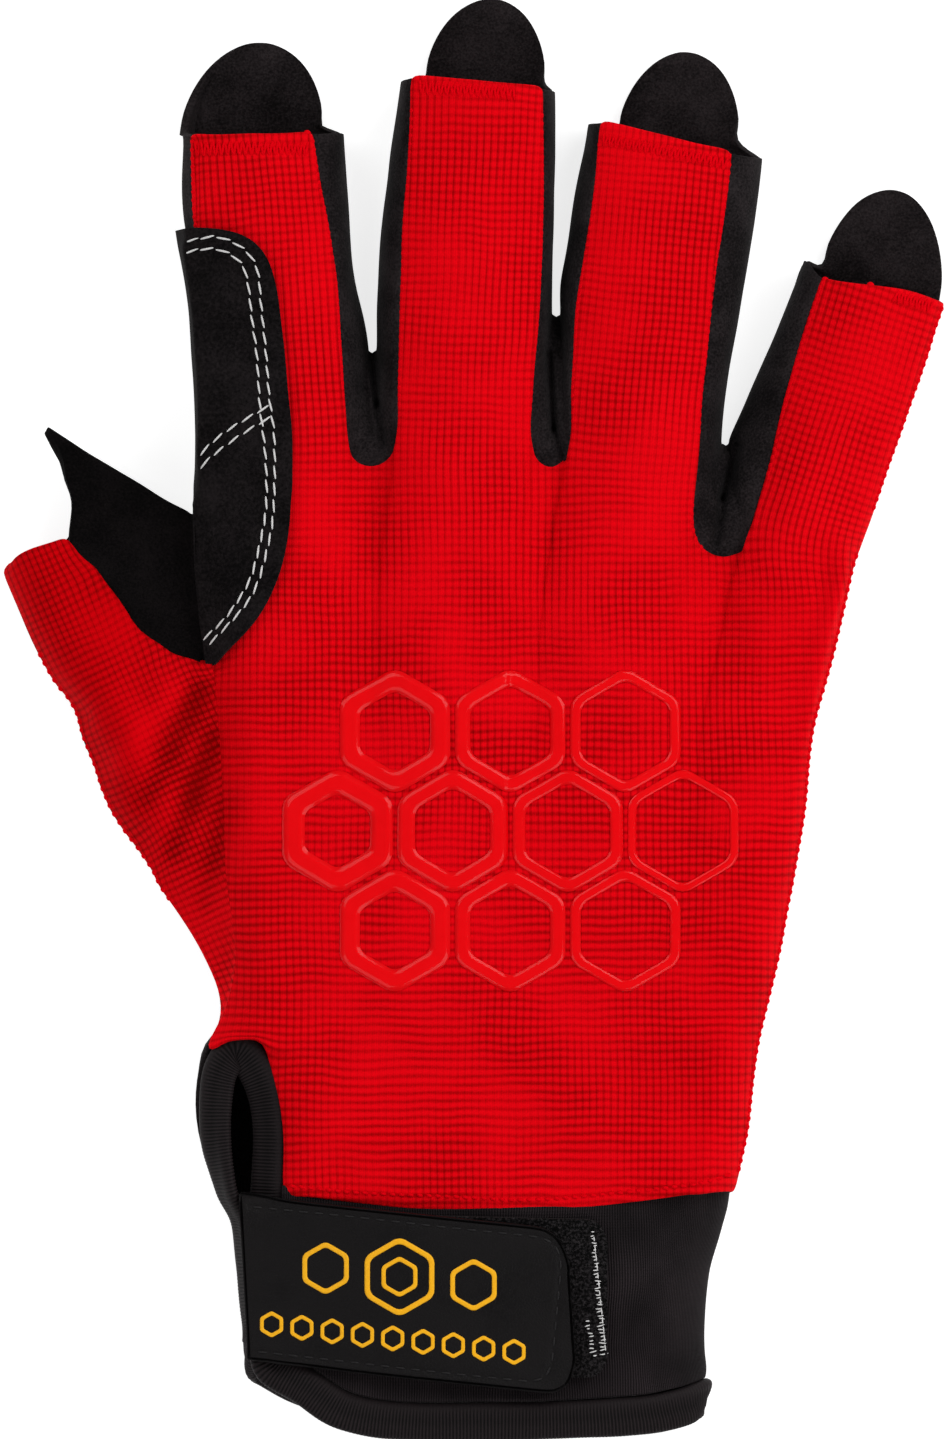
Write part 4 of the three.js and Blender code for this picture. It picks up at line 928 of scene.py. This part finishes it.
strap = copy_panel("strap")
crease_rims(strap, 0.75)
smooth_panel(strap, 4)
strap_points = points_of(strap.data)
strap_points[:, 0] += STRAP_DRAW_IN * (1 - ease(*STRAP_LEFT, strap_points[:, 0]))
strap_up = upward(strap, 0.3, 0.7)
seam_route, _ = smooth_route([place(*spot) for spot in STRAP_SEAM], 400, closed=False)
beside_seam = np.min(np.linalg.norm(strap_points[:, None, :2] - seam_route[None], axis=2), axis=1)
waviness = np.array([noise.noise(Vector(point) / STRAP_WAVE[0]) for point in strap_points.tolist()])
furrow = np.exp(-((beside_seam / SEAM_FURROW[0]) ** 2))
hook_points = strap_points.copy()
strap_points[:, 2] += (STRAP_WAVE[1] * waviness - SEAM_FURROW[1] * furrow) * strap_up
set_points(strap.data, strap_points)
settle(strap, strap_skin, "strap")

hook_layer = new_mesh("strap_hook_layer", hook_points, [tuple(p.vertices) for p in strap.data.polygons])
outward = np.array([v.normal for v in hook_layer.data.vertices])
hook_points[:, :2] += outward[:, :2] * HOOK_EDGE
hook_points[:, 2] -= HOOK_DROP * strap_up
set_points(hook_layer.data, hook_points)
settle(hook_layer, strap_skin)

pad = copy_panel("loop_pad")
crease_rims(pad, 0.5)
smooth_panel(pad, 4)
pad_points = points_of(pad.data)
tufts = np.array([
    sum(noise.noise(Vector(point) / grain + Vector(start)) * height for grain, height, start in TUFTS)
    for point in pad_points.tolist()
])
pad_points[:, 2] += tufts * upward(pad, 0.2, 0.6)
set_points(pad.data, pad_points)
settle(pad, loop_pile, "loop_pad")
print("strap faces", len(strap.data.polygons), "pad faces", len(pad.data.polygons))

# %% [markdown]
# ## Threads
# A stitch is a short thick thread that dives into the cloth at both ends. One is shaped from a ball,
# stretched and with its ends bent down, and every seam repeats it. A seam is a line in picture points. It
# is walked at the real pitch, and each stitch is dropped from above onto the cloth that carries it and
# turned to its slope.

# %% One stitch, and how it is sewn
END_START = 0.22  # the stitch bends down beyond this share of its length from its middle
END_BEND = 8.8
DROP_HEIGHT = 60
bpy.ops.object.select_all(action="DESELECT")
bpy.ops.mesh.primitive_uv_sphere_add(segments=8, ring_count=8, radius=0.5, rotation=(0, math.pi / 2, 0))
stitch = bpy.context.object
stitch.name = "stitch"
bpy.ops.object.transform_apply(location=False, rotation=True, scale=True)
STITCH_POINTS = np.array([v.co for v in stitch.data.vertices])
STITCH_POINTS[:, 2] -= END_BEND * np.maximum(np.abs(STITCH_POINTS[:, 0]) - END_START, 0) ** 2
STITCH_FACES = [tuple(p.vertices) for p in stitch.data.polygons]
bpy.data.objects.remove(stitch)


def carrier(*nodes):
    """What a stitch falls on: the finished cloth of these panels."""
    points, faces = [], []
    for node in nodes:
        mesh = pieces[node].data
        first = sum(len(p) for p in points)
        points.append(points_of(mesh))
        faces += [tuple(v + first for v in p.vertices) for p in mesh.polygons]
    return BVHTree.FromPolygons(np.vstack(points).tolist(), faces)


def drop(tree, x, y):
    """The place under a point on what the stitch falls on, and the way it faces."""
    spot, facing, _, _ = tree.ray_cast(Vector((x, y, DROP_HEIGHT)), Vector((0, 0, -1)))
    return spot, facing


def stitch_at(tree, first, last, width, sink=0.3):
    """One stitch between two places in plan, or nothing where no cloth lies under it."""
    dropped = [drop(tree, *spot) for spot in (first, last, (first + last) / 2)]
    if any(spot is None for spot, _ in dropped):
        return None
    (start, _), (end, _), (middle, facing) = dropped
    forward = end - start
    length = forward.length
    fell_off_an_edge = length > 2.2 * np.linalg.norm(last - first) + 0.3
    if fell_off_an_edge:
        return None
    forward.normalize()
    up = (facing - facing.dot(forward) * forward).normalized()
    axes = np.array([forward, up.cross(forward), up])
    scaled = STITCH_POINTS * (length, width, width * 0.9)
    height = np.array(middle + up * width * (0.45 - sink))
    return scaled @ axes + height


def gather(name, shapes, finish):
    """Makes one piece of many copies of the stitch."""
    faces = [tuple(v + i * len(STITCH_POINTS) for v in f) for i in range(len(shapes)) for f in STITCH_FACES]
    settle(new_mesh(name, np.vstack(shapes), faces), finish)
    print(name, len(shapes))


def sew(name, tree, stitches, width, finish):
    """Makes one piece of all the stitches of a seam."""
    shapes = [stitch_at(tree, first, last, width) for first, last in stitches]
    gather(name, [shape for shape in shapes if shape is not None], finish)


def turned_left(way, degrees):
    """A way in plan, turned to the left."""
    angle = math.radians(degrees)
    return np.array([way[0] * math.cos(angle) - way[1] * math.sin(angle),
                     way[0] * math.sin(angle) + way[1] * math.cos(angle)])


def along_line(line, pitch, length, slant=0.0):
    """Stitches of a seam that follows a line of picture points. slant turns each stitch a little."""
    route = np.array([place(*spot) for spot in line])
    _, total = smooth_route(route, 10, closed=False)
    count = max(2, round(total / pitch)) + 1
    spots, _ = smooth_route(route, count, closed=False)
    made = []
    for first, last in zip(spots[:-1], spots[1:]):
        forward = turned_left((last - first) / np.linalg.norm(last - first), slant)
        middle = (first + last) / 2
        made.append((middle - forward * length / 2, middle + forward * length / 2))
    return made


# %% [markdown]
# ### Tucked edges
# Before the threads go on, two kinds of edges are tucked in, as a sewer would. The lower edges of the
# finger walls go a little down inside the palm's turned-up rim, so no light gets through the seam. The
# suede of the thumb goes under the red knit wherever the knit covers it.

# %% Tucked edges
WALL_TUCK = 0.6
WALL_FOOT = (3.7, 5.4)  # heights between which the tuck fades out
COVER = 0.4
COVER_REACH = 2.0  # suede that stands further above the knit than this belongs to the thumb's upright side
for name in ("wall_index_middle", "wall_middle_ring", "wall_ring_little"):
    wall_points = points_of(pieces[name].data)
    wall_points[:, 2] -= WALL_TUCK * (1 - ease(*WALL_FOOT, wall_points[:, 2]))
    set_points(pieces[name].data, wall_points)

cover_tree = carrier("thumb_back")
front_points = points_of(pieces["thumb_front"].data)
tucked = 0
for point in front_points:
    spot, _ = drop(cover_tree, point[0], point[1])
    if spot is not None and spot.z - COVER < point[2] < spot.z + COVER_REACH:
        point[2] = spot.z - COVER
        tucked += 1
set_points(pieces["thumb_front"].data, front_points)
print("points tucked under the knit:", tucked)

# %% [markdown]
# ### White double stitching on the patch
# The suede patch on the index finger's side is held by two rows of thick white thread along its rounded
# edge, and by two more rows that cross it. The stitches are long, a little slanted, and bright against the
# suede.

# %% White seams
PATCH_SEAMS = [
    [(184, 245), (201, 241), (217, 239), (235, 245), (248, 254), (259, 272), (262, 305), (267, 353),
     (271, 405), (275, 429), (276, 476), (274, 522), (269, 548), (260, 582), (249, 603), (231, 624),
     (209, 646)],
    [(184, 256), (200, 252), (215, 251), (229, 255), (244, 267), (250, 290), (253, 320), (258, 356),
     (261, 405), (264, 431), (267, 460), (268, 495), (266, 522), (257, 563), (250, 584), (233, 611),
     (221, 625), (203, 641)],
    [(272, 407), (247, 421), (219, 439), (200, 458)],
    [(274, 418), (243, 436), (213, 458), (200, 471)],
]
patch_tree = carrier("index_patch")
white = [pair for seam in PATCH_SEAMS for pair in along_line(seam, 2.75, 2.6, 7)]
sew("patch_stitching", patch_tree, white, 0.35, white_thread)

# %% [markdown]
# ### Red threads on the knit
# The finger ends of the knit are hemmed with an overlock seam, whose threads run to and fro across the hem,
# and a row of short stitches holds the knit to the cuff. Both are sewn in the colour of the knit, so they
# show by their shape and shine.

# %% Red seams
HEMS = [
    # left and right end of the hem, and how deep the overlock seam reaches
    ((196, 139), (309, 139), 3.4),
    ((420, 78), (537, 84), 3.4),
    ((604, 130), (728, 155), 3.2),
    ((822, 265), (934, 297), 3.2),
]
HEM_EDGE = 0.6
HEM_PITCH = 1.0
CUFF_SEAM = [
    (289, 1183), (330, 1187), (361, 1190), (457, 1194), (519, 1197), (563, 1195), (606, 1191), (666, 1185),
    (700, 1180), (731, 1172),
]
back_tree = carrier("back_panel")


def overlock(left, right, depth):
    """Threads that run to and fro between two lines below a hem."""
    left, right = place(*left), place(*right)
    along = right - left
    width = np.linalg.norm(along)
    along /= width
    down = np.array([along[1], -along[0]])
    steps = round(width / HEM_PITCH)
    near = [left + along * width * k / steps + down * HEM_EDGE for k in range(steps + 1)]
    far = [left + along * width * (k + 0.5) / steps + down * depth for k in range(steps)]
    return [pair for k in range(steps) for pair in ((near[k], far[k]), (far[k], near[k + 1]))]


red = [pair for hem in HEMS for pair in overlock(*hem)]
sew("hem_overlock", back_tree, red, 0.5, red_thread)
sew("cuff_seam_stitching", back_tree, along_line(CUFF_SEAM, 1.5, 1.15, -12), 0.62, red_thread)

# %% [markdown]
# ### Ends of the ribs
# Where the knit meets suede, and along its outer edges, every rib ends in a small bump, so the edge of the
# red is scalloped. Each bump is the same little shape again, turned across the edge. A search along each
# rib finds the edge: it walks outwards until no cloth lies below, then halves its step until it is exact.

# %% Rib ends
RIB_ENDS = [
    # root in millimetres, lean, first and last rib along the axis, way to walk, furthest edge, panel
    *[(*axis, first, last, way, 17.0, "back_panel")
      for axis, first, last in zip(AXES, (7, 4, 8, 6), (50, 54, 55, 42)) for way in (-1, 1)],
    (30.0, -30.0, 0.0, -44, 66, 1, 45.0, "back_panel"),
    (-48.0, -40.0, 0.0, -6, 54, -1, 32.0, "thumb_back"),
]
RIB_END_SIZE = np.array([1.25, 1.2, 0.8])
RIB_END_INSET = 0.5
RIB_END_SINK = 0.36
LOWEST_RIB_END = 2  # below this height the edge lies on the table
WALK_START = 2.0
WALK_STEP = 0.5
HALVINGS = 6


def edge_along(tree, start, way, furthest):
    """How far along the way the cloth under it ends, or nothing if it goes on."""
    reach = WALK_START
    while drop(tree, *(start + way * reach))[0] is not None:
        reach += WALK_STEP
        if reach > furthest:
            return None
    step = WALK_STEP / 2
    for _ in range(HALVINGS):
        reach += step if drop(tree, *(start + way * reach))[0] is not None else -step
        step /= 2
    return reach


def rib_ends():
    """Every bump, as rows of points."""
    bumps = []
    trees = {name: carrier(name) for name in ("back_panel", "thumb_back")}
    for root_x, root_y, lean, first, last, way, furthest, panel in RIB_ENDS:
        across, axis = ways(lean)
        across = across * way
        for rib in range(round((last - first) / RIB_PITCH)):
            start = np.array([root_x, root_y]) + axis * (first + rib * RIB_PITCH)
            if drop(trees[panel], *(start + across * WALK_START))[0] is None:
                continue
            edge = edge_along(trees[panel], start, across, furthest)
            if edge is None:
                continue
            spot, _ = drop(trees[panel], *(start + across * (edge - RIB_END_INSET)))
            if spot is None or spot.z < LOWEST_RIB_END:
                continue
            bump_axes = np.array([(*across, 0), (*(axis * way), 0), (0, 0, 1)])
            bumps.append(STITCH_POINTS * RIB_END_SIZE @ bump_axes + np.array(spot) - (0, 0, RIB_END_SINK))
    return bumps


gather("rib_ends", rib_ends(), red_thread)

# %% [markdown]
# ### Black threads on the strap
# The strap is edged with one row of black stitches that goes round its free end. It is the same stitch
# again, in black, and shows only by its shine.

# %% Strap seam
strap_tree = carrier("strap")
sew("strap_stitching", strap_tree, along_line(STRAP_SEAM, 2.5, 1.75), 0.36, black_thread)

# %% [markdown]
# ### Loose white ends beside the pad
# The pad is sewn on with a white bobbin thread, and its ends show as a ladder of short bits along the pad's
# free edge, closer together towards the bottom.

# %% White ends
LADDERS = [
    # top, bottom, rungs, length of the first and of the last
    ((592, 1229), (603, 1350), 36, 0.6, 1.3),
    ((587, 1318), (593, 1352), 10, 0.7, 1.2),
]
LADDER_THREAD = [(593, 1232), (599, 1290), (605, 1348)]
pad_tree = carrier("loop_pad", "cuff")
ladder = []
for top, bottom, rungs, first_length, last_length in LADDERS:
    for rung in range(rungs):
        share = rung / (rungs - 1)
        middle = place(*(np.array(top) * (1 - share) + np.array(bottom) * share))
        # Waves that never fall in step make every rung a little different in length, place and lean.
        length = first_length + (last_length - first_length) * share + 0.25 * math.sin(rung * 2.4)
        middle = middle + (0.18 * math.sin(rung * 5.1), 0.08 * math.cos(rung * 3.3))
        lean = np.array([1.0, 0.08 + 0.22 * math.sin(rung * 1.7)])
        ladder.append((middle - lean * length / 2, middle + lean * length / 2))
ladder += along_line(LADDER_THREAD, 1.5, 1.3)
sew("pad_bobbin_thread", pad_tree, ladder, 0.22, white_thread)

# %% [markdown]
# ## The film on the back and the print on the strap
# A thin glossy film is pressed onto the knit as decoration: here a plain honeycomb of rings, as heavy at
# one end as it is light at the other. A ring starts as a circle of six corners, gets its corners rounded
# and its edge cut into short lengths, is extruded inwards, and is then dropped onto the cloth. The strap
# carries a row of small rings and a few larger ones above them, as a flat print.

# %% Honeycomb rings
CORNER_SHARE = 0.16  # of the radius, which each corner is rounded by
RING_STEPS = 3


def ring_mesh(name, rings, tree, lift, thickness):
    """Six-sided rings laid on a cloth, each given by its centre, its radius and its width in millimetres."""
    points, faces = [], []
    for x, y, radius, width in rings:
        bpy.ops.object.select_all(action="DESELECT")
        bpy.ops.mesh.primitive_circle_add(vertices=6, radius=radius, location=(0, 0, 0))
        ring = bpy.context.object
        edit_all(ring)
        bpy.ops.mesh.bevel(offset=radius * CORNER_SHARE, segments=4, affect="VERTICES")
        bpy.ops.mesh.subdivide(number_cuts=2)
        for _ in range(RING_STEPS):
            bpy.ops.mesh.extrude_region()
            step = (radius - width / RING_STEPS) / radius
            bpy.ops.transform.resize(value=(step, step, 1), center_override=(0, 0, 0))
            radius -= width / RING_STEPS
        bpy.ops.object.mode_set(mode="OBJECT")
        first = len(points)
        flat = np.array([v.co for v in ring.data.vertices])[:, :2] + (x, y)
        for px, py in flat:
            spot, _ = drop(tree, px, py)
            points.append((px, py, spot.z + lift))
        faces += [tuple(v + first for v in p.vertices) for p in ring.data.polygons]
        bpy.data.objects.remove(ring)
    piece = new_mesh(name, points, faces)
    edit_all(piece)
    bpy.ops.mesh.normals_make_consistent(inside=False)
    bpy.ops.object.mode_set(mode="OBJECT")
    if sum(p.normal.z * p.area for p in piece.data.polygons) < 0:
        piece.data.flip_normals()
    wall = piece.modifiers.new("wall", "SOLIDIFY")
    wall.thickness = thickness * MM
    wall.offset = 1
    bpy.ops.object.modifier_apply(modifier="wall")
    return piece


CELL = 10.9
CELL_GAP = 0.45
CLUSTER = (6.1, -18.4)
CLUSTER_ROWS = [(-1, 3), (0, 4), (1, 3)]  # row, and how many rings it has
RING_WIDTH = 2.9
WIDTH_FADE = 0.048  # how much narrower a ring gets with each millimetre to the right
honeycomb = []
for row, columns in CLUSTER_ROWS:
    for column in range(columns):
        x = (column - (columns - 1) / 2) * CELL * math.sqrt(3)
        y = row * CELL * 1.5
        honeycomb.append((CLUSTER[0] + x, CLUSTER[1] + y, CELL - CELL_GAP, RING_WIDTH - WIDTH_FADE * x))
settle(ring_mesh("honeycomb_film", honeycomb, back_tree, 0.05, 0.1), red_film)

EMBLEM_MIDDLE = (398, 1291)
EMBLEM_TURN = -6.3
EMBLEM = [
    # across and up in millimetres, radius and width
    (0.0, 3.0, 6.6, 1.0),
    (0.0, 3.0, 3.4, 0.8),
    (-12.2, 3.0, 4.4, 0.9),
    (12.2, 3.0, 4.4, 0.9),
] + [(5.0 * k, -7.2, 2.2, 0.7) for k in range(-4, 5)]
emblem = [
    (*(place(*EMBLEM_MIDDLE) + turned_left((across, up), EMBLEM_TURN)), radius, width)
    for across, up, radius, width in EMBLEM
]
settle(ring_mesh("strap_print", emblem, strap_tree, 0.02, 0.06), orange_print)
print("film rings", len(honeycomb), "strap rings", len(emblem))
